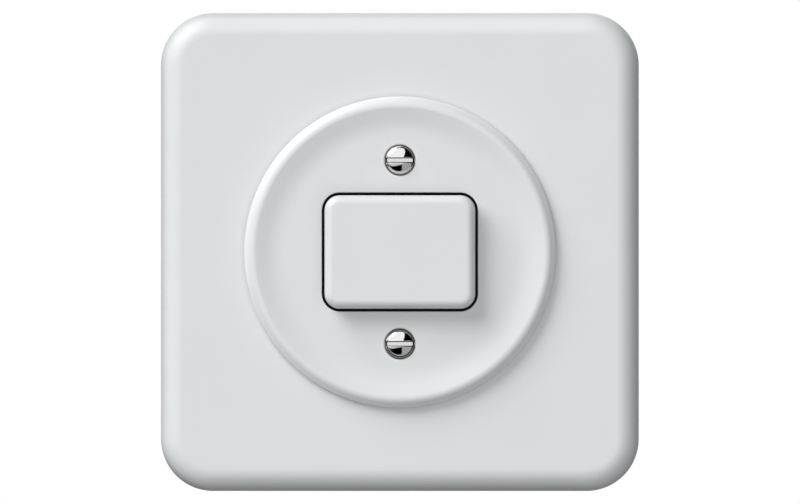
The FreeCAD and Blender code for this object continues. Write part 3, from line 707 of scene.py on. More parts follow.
class PaintedShadeInGaps(Effect):
    """Painted shade in gaps: a near-black colour laid where a piece marks a gap, denser and thinner in
    patches.
    """

    name = "painted_shade_in_gaps"
    inputs = {"Colour": COLOUR, "Shade": COLOUR, "Amount": VALUE}
    outputs = TINTED

    @staticmethod
    def fill(nodes: Nodes, given: Sockets) -> tuple[Socket, ...]:
        """Multiplies the gap's own share by patchy noise and by the amount.

        Args:
            nodes: The group's node tree.
            given: The sockets of its inputs.

        Returns:
            Colour and mask.
        """
        patchy = nodes.noise(nodes.place(), scale=900.0, detail=2.0, roughness=0.5)
        dense = nodes.scaled(patchy, low=0.3, high=0.6, least=0.95)
        both = nodes.maths("MULTIPLY", nodes.attribute(GAP_ATTRIBUTE), dense)
        mask = nodes.maths("MULTIPLY", both, given["Amount"], clamp=True)
        return nodes.blend("RGBA", mask, given["Colour"], given["Shade"]), mask


class TurningRings(Effect):
    """Fine turning rings about a piece's own axis."""

    name = "turning_rings"
    inputs = {"Rings": VALUE}
    outputs = {"Height": VALUE}

    @staticmethod
    def fill(nodes: Nodes, given: Sockets) -> tuple[Socket, ...]:
        """Noise along the radius."""
        place = {"W": nodes.attribute(RADIUS_ATTRIBUTE), "Scale": given["Rings"], "Detail": 2.0}
        return (nodes.add("ShaderNodeTexNoise", place, noise_dimensions="1D").outputs["Fac"],)


def rgba(colour: Colour, share: float = 1.0) -> tuple[float, float, float, float]:
    """A colour times a share, with full alpha."""
    return (colour[0] * share, colour[1] * share, colour[2] * share, 1.0)


def new_material(name: str) -> tuple[Material, Nodes]:
    """Makes a material without nodes.

    Args:
        name: Its name.

    Returns:
        The material and its empty node tree.
    """
    material = bpy.data.materials.new(name)
    material.use_nodes = True
    return material, Nodes(material.node_tree)


# Near-black colour of the painted shade in gaps, recesses and seams.
PAINTED_SHADE = (0.01, 0.01, 0.0105)


@dataclass(frozen=True)
class Finish:
    """What all finishes share. Relief is the depth of the grain in metres."""

    name: str
    colour: Colour
    smooth: float = 0.36
    rough: float = 0.46
    cloud_scale: float = 60.0
    relief: float = 1.5e-6
    # Amount of painted shade in marked gaps, and the roughness under it.
    gap_shade: float = 1.0
    gap_shade_roughness: float = 0.9

    def surface(self, nodes: Nodes) -> tuple[Socket, Socket, Socket]:
        """Adds the finish's own nodes.

        Args:
            nodes: The material's node tree.

        Returns:
            Colour, roughness and height.
        """
        raise NotImplementedError

    def shading(self) -> dict[str, float]:
        """Constant inputs of the shader."""
        raise NotImplementedError

    def material(self) -> Material:
        """Builds the material, or finds it if it is there.

        Returns:
            The material.
        """
        if self.name in bpy.data.materials:
            return bpy.data.materials[self.name]
        material, nodes = new_material(self.name)
        colour, roughness, height = self.surface(nodes)
        # Painted shade: where a piece marks a gap, the colour goes towards near black.
        gaps = nodes.group(PaintedShadeInGaps, {"Colour": colour, "Shade": rgba(PAINTED_SHADE), "Amount": self.gap_shade})
        gloss = nodes.blend("FLOAT", gaps["Mask"], roughness, self.gap_shade_roughness)
        grain = {"Strength": 1.0, "Distance": self.relief, "Height": height}
        normal = nodes.add("ShaderNodeBump", grain).outputs["Normal"]
        varied = {"Base Color": gaps["Colour"], "Roughness": gloss, "Normal": normal}
        shader = nodes.add("ShaderNodeBsdfPrincipled", {**self.shading(), **varied})
        nodes.add("ShaderNodeOutputMaterial", {"Surface": shader.outputs["BSDF"]})
        return material


@dataclass(frozen=True)
class Moulding(Finish):
    """Finish of a moulded plastic piece.

    Cloud is how dark the cloudy parts are. On outward edges the finish is glossier, as polished by use,
    and lighter by a set factor, which is a painted highlight.
    """

    cloud: float = 0.98
    grain_scale: float = 2600.0
    rub_and_highlight: float = 0.5
    rub_and_highlight_break: float = 600.0
    highlight_lift: float = 1.1
    rubbed_roughness: float = 0.26
    fleck: Colour | None = None
    fleck_scale: float = 1500.0
    ior: float = 1.46

    def surface(self, nodes: Nodes) -> tuple[Socket, Socket, Socket]:
        """Moulded surface, with flecks if it has any, glossier edges, and a painted highlight that
        lightens them.

        Args:
            nodes: The material's node tree.

        Returns:
            Colour, roughness and height.
        """
        base = nodes.group(MouldedSurface, {
            "Light": rgba(self.colour), "Dark": rgba(self.colour, self.cloud),
            "Smooth": self.smooth, "Rough": self.rough,
            "Cloud Scale": self.cloud_scale, "Grain Scale": self.grain_scale,
        })
        colour = base["Colour"]
        if self.fleck is not None:
            given = {"Colour": colour, "Fleck": rgba(self.fleck), "Scale": self.fleck_scale}
            colour = nodes.group(FillerFlecks, given)["Colour"]
        rub_and_highlight = {"Amount": self.rub_and_highlight, "Break Scale": self.rub_and_highlight_break}
        rub_and_highlight_mask = nodes.group(RubbedEdgesAndHighlight, rub_and_highlight)["Mask"]
        # Painted highlight: outward edges are made lighter, standing in for the bright line that light
        # draws along a lit rim.
        colour = nodes.blend("RGBA", rub_and_highlight_mask, colour, rgba(self.colour, self.highlight_lift))
        roughness = nodes.blend("FLOAT", rub_and_highlight_mask, base["Roughness"], self.rubbed_roughness)
        return colour, roughness, base["Height"]

    def shading(self) -> dict[str, float]:
        """Constant inputs of the shader."""
        return {"IOR": self.ior}


@dataclass(frozen=True)
class Metal(Finish):
    """Finish of a metal piece.

    Dull is how dark the tarnish is, streaks are noise scales along X, Y and Z per metre, wear is
    how far edges show the worn colour, and rings are turning marks per millimetre.
    """

    smooth: float = 0.2
    rough: float = 0.36
    cloud_scale: float = 160.0
    relief: float = 2e-6
    gap_shade_roughness: float = 0.5
    dull: float = 0.9
    streaks: Point = (900.0, 900.0, 900.0)
    worn: Colour | None = None
    wear: float = 0.6
    wear_break: float = 4.0
    rings: float = 0.0

    def surface(self, nodes: Nodes) -> tuple[Socket, Socket, Socket]:
        """Metal surface, with worn edges and turning rings if it has any.

        Args:
            nodes: The material's node tree.

        Returns:
            Colour, roughness and height.
        """
        base = nodes.group(MetalSurface, {
            "Bright": rgba(self.colour), "Dull": rgba(self.colour, self.dull),
            "Smooth": self.smooth, "Rough": self.rough,
            "Cloud Scale": self.cloud_scale, "Streaks": self.streaks,
        })
        colour, height = base["Colour"], base["Height"]
        if self.worn is not None:
            given = {"Amount": self.wear, "Break Scale": self.cloud_scale * self.wear_break}
            edges = nodes.group(RubbedEdgesAndHighlight, given)["Mask"]
            colour = nodes.blend("RGBA", edges, colour, rgba(self.worn))
        if self.rings:
            height = nodes.group(TurningRings, {"Rings": self.rings})["Height"]
        return colour, base["Roughness"], height

    def shading(self) -> dict[str, float]:
        """Constant inputs of the shader."""
        return {"Metallic": 1.0}


COVER_COLOUR = (0.685, 0.707, 0.716)
BARE_STEEL = (0.8, 0.8, 0.79)
# Mouldings lighten their outward edges as a painted highlight; the disc's is the strongest, the cover's
# faint.
COVER_FINISH = Moulding("cover_moulding", COVER_COLOUR, highlight_lift=1.04)
DISC_FINISH = Moulding(
    "disc_moulding", COVER_COLOUR, rub_and_highlight=2.0, rub_and_highlight_break=25.0, rubbed_roughness=0.12
)
BUTTON_FINISH = Moulding("button_moulding", (0.69, 0.7, 0.708), grain_scale=3000.0)
HOUSING_FINISH = Moulding(
    "thermoset_moulding", (0.1, 0.1, 0.105), smooth=0.42, rough=0.6, relief=4e-6, cloud=0.8,
    fleck=(0.2, 0.2, 0.205),
)
PLUNGER_FINISH = Moulding(
    "plunger_moulding", (0.02, 0.02, 0.022), smooth=0.75, rough=0.9, cloud=0.7
)
ROCKER_FINISH = Moulding("rocker_moulding", (0.7, 0.66, 0.55), smooth=0.4, rough=0.5, cloud=0.93)
NICKEL_FINISH = Metal(
    "polished_nickel", (0.86, 0.86, 0.855), smooth=0.04, rough=0.09, relief=2e-7, dull=0.97,
    rings=14.0,
)
ZINC_FINISH = Metal(
    "zinc_screw", (0.62, 0.63, 0.64), smooth=0.22, rough=0.4, dull=0.82, worn=BARE_STEEL
)
SHEET_FINISH = Metal(
    "zinc_sheet", (0.6, 0.61, 0.62), smooth=0.26, rough=0.46, cloud_scale=110.0, dull=0.84,
    streaks=(60.0, 900.0, 2600.0), worn=BARE_STEEL,
)
SPRING_FINISH = Metal("spring_wire", (0.55, 0.56, 0.58), smooth=0.18, rough=0.34, dull=0.85)
BRASS_FINISH = Metal(
    "stamped_brass", (0.78, 0.6, 0.3), smooth=0.2, rough=0.42, dull=0.72,
    streaks=(300.0, 300.0, 2400.0), worn=(0.9, 0.74, 0.42),
)
SILVER_FINISH = Metal("contact_silver", (0.82, 0.82, 0.8), smooth=0.25, rough=0.4, dull=0.85)
FLOOR_FINISH = Moulding("pale_floor", (0.8, 0.8, 0.8), smooth=0.7, rough=0.8)


def add_object(name: str, data: bpy.types.ID) -> Thing:
    """Puts an object into the scene, at the origin.

    Args:
        name: Its name.
        data: Its mesh, lamp or camera.

    Returns:
        The object.
    """
    thing = bpy.data.objects.new(name, data)
    bpy.context.scene.collection.objects.link(thing)
    return thing


class Part:
    """A piece of the switch that stands for one CAD node.

    Crease is the angle in degrees from which its edges are drawn sharp, and bounces tells whether
    it throws soft light back on its neighbours.
    """

    name: str
    node: str
    slot: Slot
    finish: Finish
    body: Body = Body.FIXED
    crease: float = 38.0
    bounces: bool = True

    def skin(self) -> Skin:
        """Works out the piece's surface."""
        raise NotImplementedError

    def gaps(self, points: Array) -> Array | None:
        """Share of painted shade at points in millimetres, or None where a piece has none."""
        return None

    def turning(self, points: Array) -> Array | None:
        """Distance of points in millimetres from the axis they turn about, or None without one."""
        return None

    def build(self) -> Thing:
        """Builds the mesh with what its finish reads from it, and dresses it.

        Returns:
            The piece.
        """
        mesh = self.skin().mesh(self.name, self.crease)
        points = fetch(mesh.vertices, "co", 3) / MM
        marks = {GAP_ATTRIBUTE: self.gaps(points), RADIUS_ATTRIBUTE: self.turning(points)}
        for name, values in marks.items():
            if values is not None:
                store(mesh, name, values)
        return self.dress(mesh)

    def dress(self, mesh: Mesh) -> Thing:
        """Puts the finished mesh into the scene in place of its node.

        Args:
            mesh: The mesh, already in place.

        Returns:
            The piece.
        """
        thing = add_object(self.name, mesh)
        thing.visible_diffuse = self.bounces
        mesh.materials.append(self.finish.material())
        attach(thing, self.body.value)
        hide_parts(self.node)
        log.info("%s: %d faces in place of %s", self.name, len(mesh.polygons), self.node)
        return thing


@dataclass
class CoverPlate(Part):
    """Square moulded cover with a soft front edge, hollow behind, with collar, ribs and posts."""

    name, node, slot, finish = "cover_plate_shell", "cover_plate", Slot.COVER, COVER_FINISH
    side: float = 86.0
    corner_r: float = 9.4
    edge_r: float = 4.0
    wall: float = 2.2
    front: float = -9.0
    rear: float = 0.0
    lip_r: float = 0.3
    bore_r: float = 25.0
    collar_wall: float = 1.6
    collar_rear: float = -5.2
    rib_t: float = 1.4
    post_r: float = 2.2
    post_end: float = -1.2
    post_xz: float = 31.5
    band: float = 0.25
    ease: float = 0.15

    def skin(self) -> Skin:
        """One surface: the outer path's profile over edge, side, rim and inside, then the bore's.

        Returns:
            The skin, with its ribs and posts.
        """
        skin = Skin()
        path = rounded_rectangle(self.side, self.side, self.corner_r, corner=24, side=28)
        inner = self.front + self.wall
        heart = (-self.edge_r, self.front + self.edge_r)
        rim = self.rear - self.lip_r
        outer = profile(
            [(heart[0] - self.band, self.front)],
            bend(heart, self.edge_r, 0, 90, steps=24),
            bend((-self.lip_r, rim), self.lip_r, 90, 180, steps=4),
            bend((self.lip_r - self.wall, rim), self.lip_r, 180, 270, steps=4),
            bend(heart, self.edge_r - self.wall, 90, 0, steps=10),
            [(heart[0] - self.band, inner)],
        )
        wall, end = self.collar_wall, self.collar_rear
        collar = profile(
            [(wall + self.band, inner), (wall, inner), (wall, end - self.ease)],
            [(wall - self.ease, end), (self.ease, end), (0, end - self.ease)],
            [(0, self.front + self.ease), (self.ease, self.front)],
            [(self.ease + self.band, self.front)],
        )
        bore = circle_facing(path, self.bore_r)
        shell = [carry(path, outer), carry(bore, collar)]
        skin.grid(np.concatenate(shell, axis=1), round_section=True)
        self.stiffeners(skin)
        return skin

    def stiffeners(self, skin: Skin) -> None:
        """Adds ribs and posts behind the face, each a path's profile from its root to an eased end.

        Args:
            skin: The skin that they are added to.
        """
        root = self.front + self.wall - self.ease
        reach = self.post_xz * math.sqrt(2)
        start = self.bore_r + self.collar_wall / 2
        rib = rounded_rectangle(reach - start, self.rib_t, self.ease, corner=3, side=4)
        rib = rib.moved((reach + start) / 2, 0)
        post = circle(self.post_r, count=48).moved(reach, 0)
        for corner in range(4):
            for path, end in ((rib, self.collar_rear), (post, self.post_end)):
                section = profile([(0, root), (0, end - self.ease), (-self.ease / 2, end)])
                skin.grid(capped(path.turned(QUARTER * (corner + 0.5)), section))


@dataclass
class CoverDisc(Part):
    """Round disc with a dished face, a bevelled rim, the button's opening and two screw bosses."""

    name, node, slot, finish = "cover_disc_shell", "cover_disc", Slot.COVER, DISC_FINISH
    radius: float = 28.0
    seat: float = -9.0
    rim: float = -11.35
    floor: float = -10.5
    rear: float = -8.3
    bevel: float = 0.7
    bevel_angle: float = 42.0
    rim_r: float = 1.6
    foot_r: float = 0.45
    dish_run: float = 5.45
    dish_angle: float = 13.5
    spigot_r: float = 24.8
    spigot_wall: float = 1.6
    spigot_end: float = -6.4
    opening_w: float = 28.02
    opening_h: float = 21.36
    opening_r: float = 3.2
    screw_z: float = 16.5
    hole_r: float = 1.6
    sink_r: float = 2.85
    boss_r: float = 3.3
    boss_end: float = -6.0
    band: float = 0.25
    ease: float = 0.1
    edge_round: float = 0.3
    shade_depth: float = 0.3
    side_shade: float = 0.5
    around: int = 256

    def side_top(self) -> float:
        """Depth at which the round foot of the bevel meets the straight side.

        Returns:
            The depth: the bevel's foot plus the foot's radius times the tangent of half its turn.
        """
        lean = math.radians(self.bevel_angle)
        bevel_foot = self.rim + self.rim_r * (1 - math.cos(lean)) + self.bevel * math.tan(lean)
        return bevel_foot + self.foot_r * math.tan((QUARTER - lean) / 2)

    def section(self) -> Array:
        """Half section from the floor over dish, rim, bevel and side to spigot and rear face.

        The dish is an arc that rises from the floor to a straight slope, the rim an arc from that
        slope over the crest to the bevel, and a small arc joins the bevel to the side.

        Returns:
            (radius, depth) points.
        """
        lean, slope = math.radians(self.bevel_angle), math.radians(self.dish_angle)
        crest = self.radius - self.bevel - self.rim_r * math.sin(lean)
        foot = crest - self.dish_run
        run = self.dish_run - self.rim_r * math.sin(slope)
        rise = self.floor - self.rim - self.rim_r * (1 - math.cos(slope))
        sweep = (run * math.tan(slope) - rise) / (1 / math.cos(slope) - 1)
        top = self.side_top()
        inner = self.spigot_r - self.spigot_wall
        return profile(
            [(foot - self.band, self.floor)],
            bend((foot, self.floor - sweep), -sweep, 0, -self.dish_angle, steps=14),
            bend(
                (crest, self.rim + self.rim_r), self.rim_r, -self.dish_angle, self.bevel_angle, steps=20
            ),
            bend((self.radius - self.foot_r, top), self.foot_r, self.bevel_angle, 90, steps=6),
            [(self.radius, depth) for depth in (top + self.ease, self.seat - self.ease, self.seat)],
            [(self.spigot_r, self.seat), (self.spigot_r, self.spigot_end - self.ease)],
            [(self.spigot_r - self.ease, self.spigot_end), (inner + self.ease, self.spigot_end)],
            [(inner, self.spigot_end - self.ease), (inner, self.rear)],
            [(inner - self.band, self.rear)],
        )

    def skin(self) -> Skin:
        """The half section round the axis, the walls of the opening and the holes, and the flats.

        Returns:
            The skin.
        """
        skin = Skin()
        section = self.section()
        skin.grid(carry(spokes(self.around), section))
        opening = rounded_rectangle(
            self.opening_w, self.opening_h, self.opening_r, corner=14, side=20
        )
        soft = self.ease * self.edge_round
        wall = profile(
            [(self.ease + self.band, self.floor), (self.ease, self.floor)],
            [(soft, self.floor + soft), (0, self.floor + self.ease)],
            [(0, self.rear - self.ease), (self.ease, self.rear)],
            [(self.ease + self.band, self.rear)],
        )
        skin.grid(carry(opening, wall))
        sink = self.sink_r + self.ease
        boss = profile(
            [(sink + self.band, self.floor), (sink, self.floor)],
            [(self.sink_r, self.floor + self.ease / 2)],
            [(self.hole_r, self.floor + self.sink_r - self.hole_r), (self.hole_r, self.boss_end)],
            [(self.boss_r - self.ease, self.boss_end), (self.boss_r, self.boss_end - self.ease)],
            [(self.boss_r, self.rear), (self.boss_r + self.band, self.rear)],
        )
        centres = [spokes(count=72).moved(0, side * self.screw_z) for side in SIDES]
        for centre in centres:
            skin.grid(carry(centre, boss))
        edge = opening.offset(self.ease + self.band)
        rays = circle(1.0, self.around).points
        for end, depth in ((0, self.floor), (-1, self.rear)):
            holes = [centre.offset(boss[end, 0]) for centre in centres]
            skin.fill(rays * section[end, 0], [edge, *holes], depth)
        return skin

    def gaps(self, points: Array) -> Array:
        """Painted shade under the face in the button's opening and round the screws, and along the
        side.

        The share is the depth under the floor over the depth at which the shade is full, inside the
        opening's outline or the screws' holes, and the same all over the side.

        Args:
            points: Points in millimetres.

        Returns:
            Share of painted shade.
        """
        x, y, z = points.T
        half_w, half_h = self.opening_w / 2, self.opening_h / 2
        opening = (abs(x) < half_w + self.ease) & (abs(z) < half_h + self.ease)
        hole = np.hypot(x, abs(z) - self.screw_z) < self.sink_r + self.ease / 2
        deep = np.clip((y - self.floor) / self.shade_depth, 0, 1)
        # Painted shade along the side: the seam with the plate is darkened, which also keeps the side
        # from lighting the plate beside it.
        side = (np.hypot(x, z) > self.radius - WELD) & (y > self.side_top() + self.ease / 2)
        return np.maximum(deep * (opening | hole), self.side_shade * side)


@dataclass
class ButtonCap(Part):
    """Rectangular moulded button, a hollow shell with two clip ridges inside.

    Below a set depth its side is darkened with painted shade, as in the gap round the button. It throws
    no soft light back, because the disc beside it would come out too pale.
    """

    name, node, slot, finish = "button_shell", "button_cap", Slot.BUTTON, BUTTON_FINISH
    body, bounces = Body.BUTTON, False
    width: float = 27.06
    height: float = 20.36
    corner_r: float = 2.7
    edge_r: float = 1.5
    face: float = -14.7
    rear: float = -8.15
    wall: float = 1.7
    inner: float = -12.9
    lip_r: float = 0.15
    band: float = 0.15
    clip_l: float = 10.0
    clip_w: float = 0.8
    clip_depth: float = 0.4
    shaded_from: float = -11.2
    shade_depth: float = 0.8

    def skin(self) -> Skin:
        """The outline's profile from the face to the rim and back up inside, and two clip ridges.

        Returns:
            The skin.
        """
        skin = Skin()
        path = rounded_rectangle(self.width, self.height, self.corner_r, corner=16, side=20)
        rim = self.rear - self.lip_r
        inset = -self.wall - self.lip_r
        skin.grid(capped(path, profile(
            [(-self.edge_r - self.band, self.face)],
            bend((-self.edge_r, self.face + self.edge_r), self.edge_r, 0, 90, steps=18),
            [(0.0, self.shaded_from), (0.0, self.shaded_from + self.shade_depth)],
            bend((-self.lip_r, rim), self.lip_r, 90, 180, steps=3),
            bend((self.lip_r - self.wall, rim), self.lip_r, 180, 270, steps=3),
            [(-self.wall, self.inner + self.lip_r), (inset, self.inner)],
            [(inset - self.band, self.inner)],
        )))
        middle = (self.inner + self.rear) / 2
        ridge = profile([(0, middle - self.clip_w / 2), (0, middle + self.clip_w / 2)])
        bar = rounded_rectangle(self.clip_l, 2 * self.clip_depth, self.lip_r, corner=3, side=4)
        for side in SIDES:
            skin.grid(capped(bar.moved(0, side * (self.height / 2 - self.wall)), ridge))
        return skin

    def gaps(self, points: Array) -> Array:
        """Painted shade on the lower part of the side, darker the deeper it lies."""
        return np.clip((points[:, 1] - self.shaded_from) / self.shade_depth, 0, 1)


@dataclass
class SlottedScrew:
    """Screw with a slot across its head, worked out about the Y axis with its head towards -Y.

    The crown is the head's (radius, depth) profile from the middle of its face outwards and down
    its side to the under-head, and the slot's floor lies at slot_floor on that profile. Taper and
    core are shares of the shank's radius: what the tip loses, and what is left at least.
    """

    crown: Array
    slot_w: float
    slot_floor: float
    shank_r: float
    shank_start: float
    tip: float
    pitch: float
    thread_depth: float
    thread_start: float
    slot_ease: float
    arc_steps: int = 40
    thread_steps: int = 7
    floor_steps: int = 4
    ease_steps: int = 4
    taper: float = 0.5
    core: float = 0.3

    def skin(self) -> Skin:
        """Works out the whole screw.

        Each half of the head is a grid of rings cut off along the slot: at radius r the angle runs
        from asin(a / r) to pi minus that, where a is half the slot and its eased edge. The slot is
        a strip from one half's cut edge over the eased edge, down the wall and across the floor.

        Returns:
            The screw's skin.
        """
        skin = Skin()
        half = self.slot_w / 2
        a = half + self.slot_ease
        upper, lower = self._split()
        past = upper[:, 0] > a + TINY
        past[np.argmax(past):] = True
        rows = np.vstack([[a, np.interp(a, self.crown[:, 0], self.crown[:, 1])], upper[past]])
        start = np.arcsin(np.clip(a / rows[:, :1], -1, 1))
        angle = start + (math.pi - 2 * start) * np.linspace(0, 1, self.arc_steps + 1)
        ring = swept(rows[:, :1], angle, rows[:, 1:])
        strip = self._slot_strip(np.concatenate([ring[::-1, -1], ring[1:, 0]]), half)
        across = np.linspace(1, -1, self.floor_steps + 1)
        floor = np.repeat(strip[:, -1:], len(across), axis=1)
        floor[..., 2] = half * across
        for grid in (ring, ring * HALF_TURN, strip, strip * HALF_TURN, floor):
            skin.grid(grid, round_path=False)
        left = [strip[0, 1:-1], floor[0], (strip[-1, 1:-1] * HALF_TURN)[::-1]]
        half_ring = np.concatenate([ring[-1], *left])
        self._shank(skin, np.concatenate([half_ring, half_ring * HALF_TURN]), lower)
        return skin

    def _split(self) -> tuple[Array, Array]:
        """Splits the crown where it passes the slot's floor, on the head's outer side.

        Returns:
            Rows down to the floor's depth, and rows from there on.
        """
        crown = self.crown
        peak = int(np.argmax(crown[:, 0]))
        below = np.nonzero((np.arange(len(crown)) >= peak) & (crown[:, 1] > self.slot_floor))[0][0]
        p, q = crown[below - 1], crown[below]
        at_floor = p + (self.slot_floor - p[1]) / (q[1] - p[1]) * (q - p)
        return np.vstack([crown[:below], at_floor]), np.vstack([at_floor, crown[below:]])

    def _slot_strip(self, cut: Array, half: float) -> Array:
        """Strip from the cut edge of a half head, over a quarter circle and down to the floor.

        Args:
            cut: Points of the cut edge, of shape (k, 3).
            half: Half the slot's width.

        Returns:
            Grid of shape (k, rows, 3) that ends on the floor's edge.
        """
        ease = np.minimum(self.slot_ease, np.maximum(self.slot_floor - cut[:, 1], 0.0))
        fall = np.linspace(0, QUARTER, self.ease_steps + 1)
        rows = np.repeat(cut[:, None, :], len(fall) + 1, axis=1)
        rows[:, :-1, 1] += ease[:, None] * (1 - np.cos(fall))
        rows[:, :-1, 2] = half + self.slot_ease * (1 - np.sin(fall))
        rows[:, -1, 0] = np.linspace(cut[0, 0], cut[-1, 0], len(cut))
        rows[:, -1, 1:] = self.slot_floor, half
        return rows

    def _shank(self, skin: Skin, first: Array, lower: Array) -> None:
        """Adds the full rings under the slot's floor: the rest of the head, the thread and the tip.

        In the thread the radius is less by a triangle wave of depth / pitch - angle / full turn.

        Args:
            skin: The skin that they are added to.
            first: The ring round the head at the slot's floor, of shape (n, 3).
            lower: The crown's rows from the floor's depth on.
        """
        angle = np.unwrap(np.arctan2(first[:, 2], first[:, 0]))[:, None]
        steps = int((self.tip - self.shank_start) / self.pitch * self.thread_steps)
        depth = np.linspace(self.shank_start, self.tip, max(steps, 2))
        wave = np.mod(depth / self.pitch - angle / FULL_TURN, 1.0)
        bite = self.thread_depth * np.abs(2 * wave - 1) * (depth >= self.thread_start)
        fall = np.clip((depth - self.tip) / self.shank_r + 1.0, 0, 1) ** 2
        point = fall * self.shank_r * self.taper
        radius = np.maximum(self.shank_r - bite - point, self.shank_r * self.core)
        head = np.broadcast_to(lower[1:, 0], (len(angle), len(lower) - 1))
        radius = np.concatenate([head, radius, np.zeros_like(angle)], axis=1)
        depth = np.concatenate([lower[1:, 1], depth, [self.tip]])
        skin.grid(np.concatenate([first[:, None], swept(radius, angle, depth)], axis=1))


@dataclass
class DiscScrews(Part):
    """Two polished screws that hold the disc: a low dome, a steep rim and a slot across."""

    name, node, slot, finish = "disc_screw_pair", "disc_screws", Slot.NICKEL, NICKEL_FINISH
    crease = 30.0
    pitch_z: float = 33.0
    floor: float = -10.5
    top: float = -11.4
    head_r: float = 2.74
    dome_edge: float = 1.8
    dome_r: float = 7.5
    shoulder: float = 2.25
    shoulder_tilt: float = 33.0
    rim_tilt: float = 40.0
    cone_run: float = 0.6
    cone_drop: float = 0.63
    slot_w: float = 0.66
    slot_ease: float = 0.18
    slot_floor: float = -10.35
    rim_ease: float = 0.06
    shank_r: float = 1.43
    neck: float = 0.05
    tip: float = -1.0
    thread_pitch: float = 0.5
    thread_depth: float = 0.27
    thread_start: float = -6.4
    wall_shade: float = 0.7
    floor_shade: float = 0.15

    def crown(self) -> Array:
        """Head profile: a low dome, a rounder shoulder, a steep rim and the cone under the head.

        Returns:
            (radius, depth) points.
        """
        turn, lean = math.asin(self.dome_edge / self.dome_r), math.radians(self.shoulder_tilt)
        most = math.degrees(turn)
        dome = bend((0, self.top + self.dome_r), self.dome_r, 0, most, steps=22)
        bow = (self.shoulder - self.dome_edge) / (math.sin(lean) - math.sin(turn))
        heart = (dome[-1, 0] - bow * math.sin(turn), dome[-1, 1] + bow * math.cos(turn))
        shoulder = bend(heart, bow, most, self.shoulder_tilt, steps=10)
        run = self.head_r - self.rim_ease - self.shoulder
        low = shoulder[-1, 1] + run * math.tan(math.radians(self.rim_tilt))
        return profile(
            dome[:-1],
            shoulder,
            [(self.shoulder + run, low), (self.head_r, low + 2 * self.rim_ease)],
            [(self.head_r, self.floor + self.rim_ease)],
            [(self.head_r - self.cone_run, self.floor + self.cone_drop)],
            [(self.shank_r, self.floor + self.head_r - self.shank_r)],
        )

    def skin(self) -> Skin:
        """The same screw twice.

        Returns:
            The skin of the pair.
        """
        crown = self.crown()
        screw = SlottedScrew(
            crown, self.slot_w, self.slot_floor, self.shank_r, crown[-1, 1] + self.neck, self.tip,
            self.thread_pitch, self.thread_depth, self.thread_start, self.slot_ease,
        ).skin()
        pair = Skin()
        for side in SIDES:
            pair.put(screw, Facing.FRONT, (0.0, 0.0, side * self.pitch_z / 2))
        return pair

    def turning(self, points: Array) -> Array:
        """Distance from the nearer screw's axis."""
        return np.hypot(points[:, 0], abs(points[:, 2]) - self.pitch_z / 2)

    def gaps(self, points: Array) -> Array:
        """Painted shade on the steep rim of the heads and along the walls of their slots.

        Args:
            points: Points in millimetres.

        Returns:
            1 outside the shoulder and on the slot's walls and the lower part of their eased edges,
            and a little on the slot's floor.
        """
        across = abs(points[:, 2]) - self.pitch_z / 2
        rim = np.clip((self.turning(points) - self.shoulder) / self.rim_ease, 0, 1)
        half = self.slot_w / 2
        above = points[:, 1] < self.slot_floor - WELD
        reach = half + self.wall_shade * self.slot_ease
        wall = above & (abs(across) > half - WELD) & (abs(across) < reach)
        bottom = ~above & (points[:, 1] < self.slot_floor + WELD) & (abs(across) < half + WELD)
        return np.maximum(np.maximum(rim, wall), self.floor_shade * bottom)


@dataclass
class CheeseScrews(Part):
    """A set of small slotted screws with cylindrical heads."""

    slot, finish = Slot.ZINC, ZINC_FINISH
    name: str
    node: str
    shank_r: float
    head_r: float
    head_l: float
    shank_l: float
    pitch: float
    threaded: float
    seats: Seats
    slot_w: float = 0.6
    slot_depth: float = 0.7
    slot_ease: float = 0.05
    ease: float = 0.22
    face_band: float = 0.1
    under_ease: float = 0.08
    neck: float = 0.04
    thread_share: float = 0.5

    def skin(self) -> Skin:
        """The same screw at each seat: a flat face, an eased edge, a side and a threaded shank.

        Returns:
            The skin of the set.
        """
        face = -self.head_l
        side = self.head_r - self.ease
        crown = profile(
            [(0, face), (side / 2, face), (side - self.face_band, face)],
            bend((side, face + self.ease), self.ease, 0, 90, steps=5),
            [(self.head_r, -self.under_ease), (self.head_r - self.under_ease, 0)],
            [(self.shank_r, 0)],
        )
        screw = SlottedScrew(
            crown, self.slot_w, face + self.slot_depth, self.shank_r, self.neck, self.shank_l,
            self.pitch, self.pitch * self.thread_share, self.shank_l - self.threaded, self.slot_ease,
            arc_steps=20, thread_steps=6,
        ).skin()
        skin = Skin()
        for facing, place in self.seats:
            skin.put(screw, facing, place)
        return skin

    def gaps(self, points: Array) -> Array:
        """Painted shade in the slots and on the sides of the heads.

        Points are turned back into each screw's own axes, where one lies in the slot if its height
        across it is under half the slot's width.

        Args:
            points: Points in millimetres.

        Returns:
            1 in a slot and on the side of a head, and 0 elsewhere.
        """
        share = np.zeros(len(points))
        for facing, place in self.seats:
            local = facing.back(points - np.array(place))
            away = np.hypot(local[:, 0], local[:, 2])
            head = (away < self.head_r + WELD) & (abs(local[:, 1] + self.head_l / 2) < self.head_l)
            slot = (abs(local[:, 2]) < self.slot_w / 2 + WELD) & (local[:, 1] > -self.head_l + WELD)
            share += head & (local[:, 1] < WELD) & (slot | (away > self.head_r - WELD))
        return np.clip(share, 0, 1)


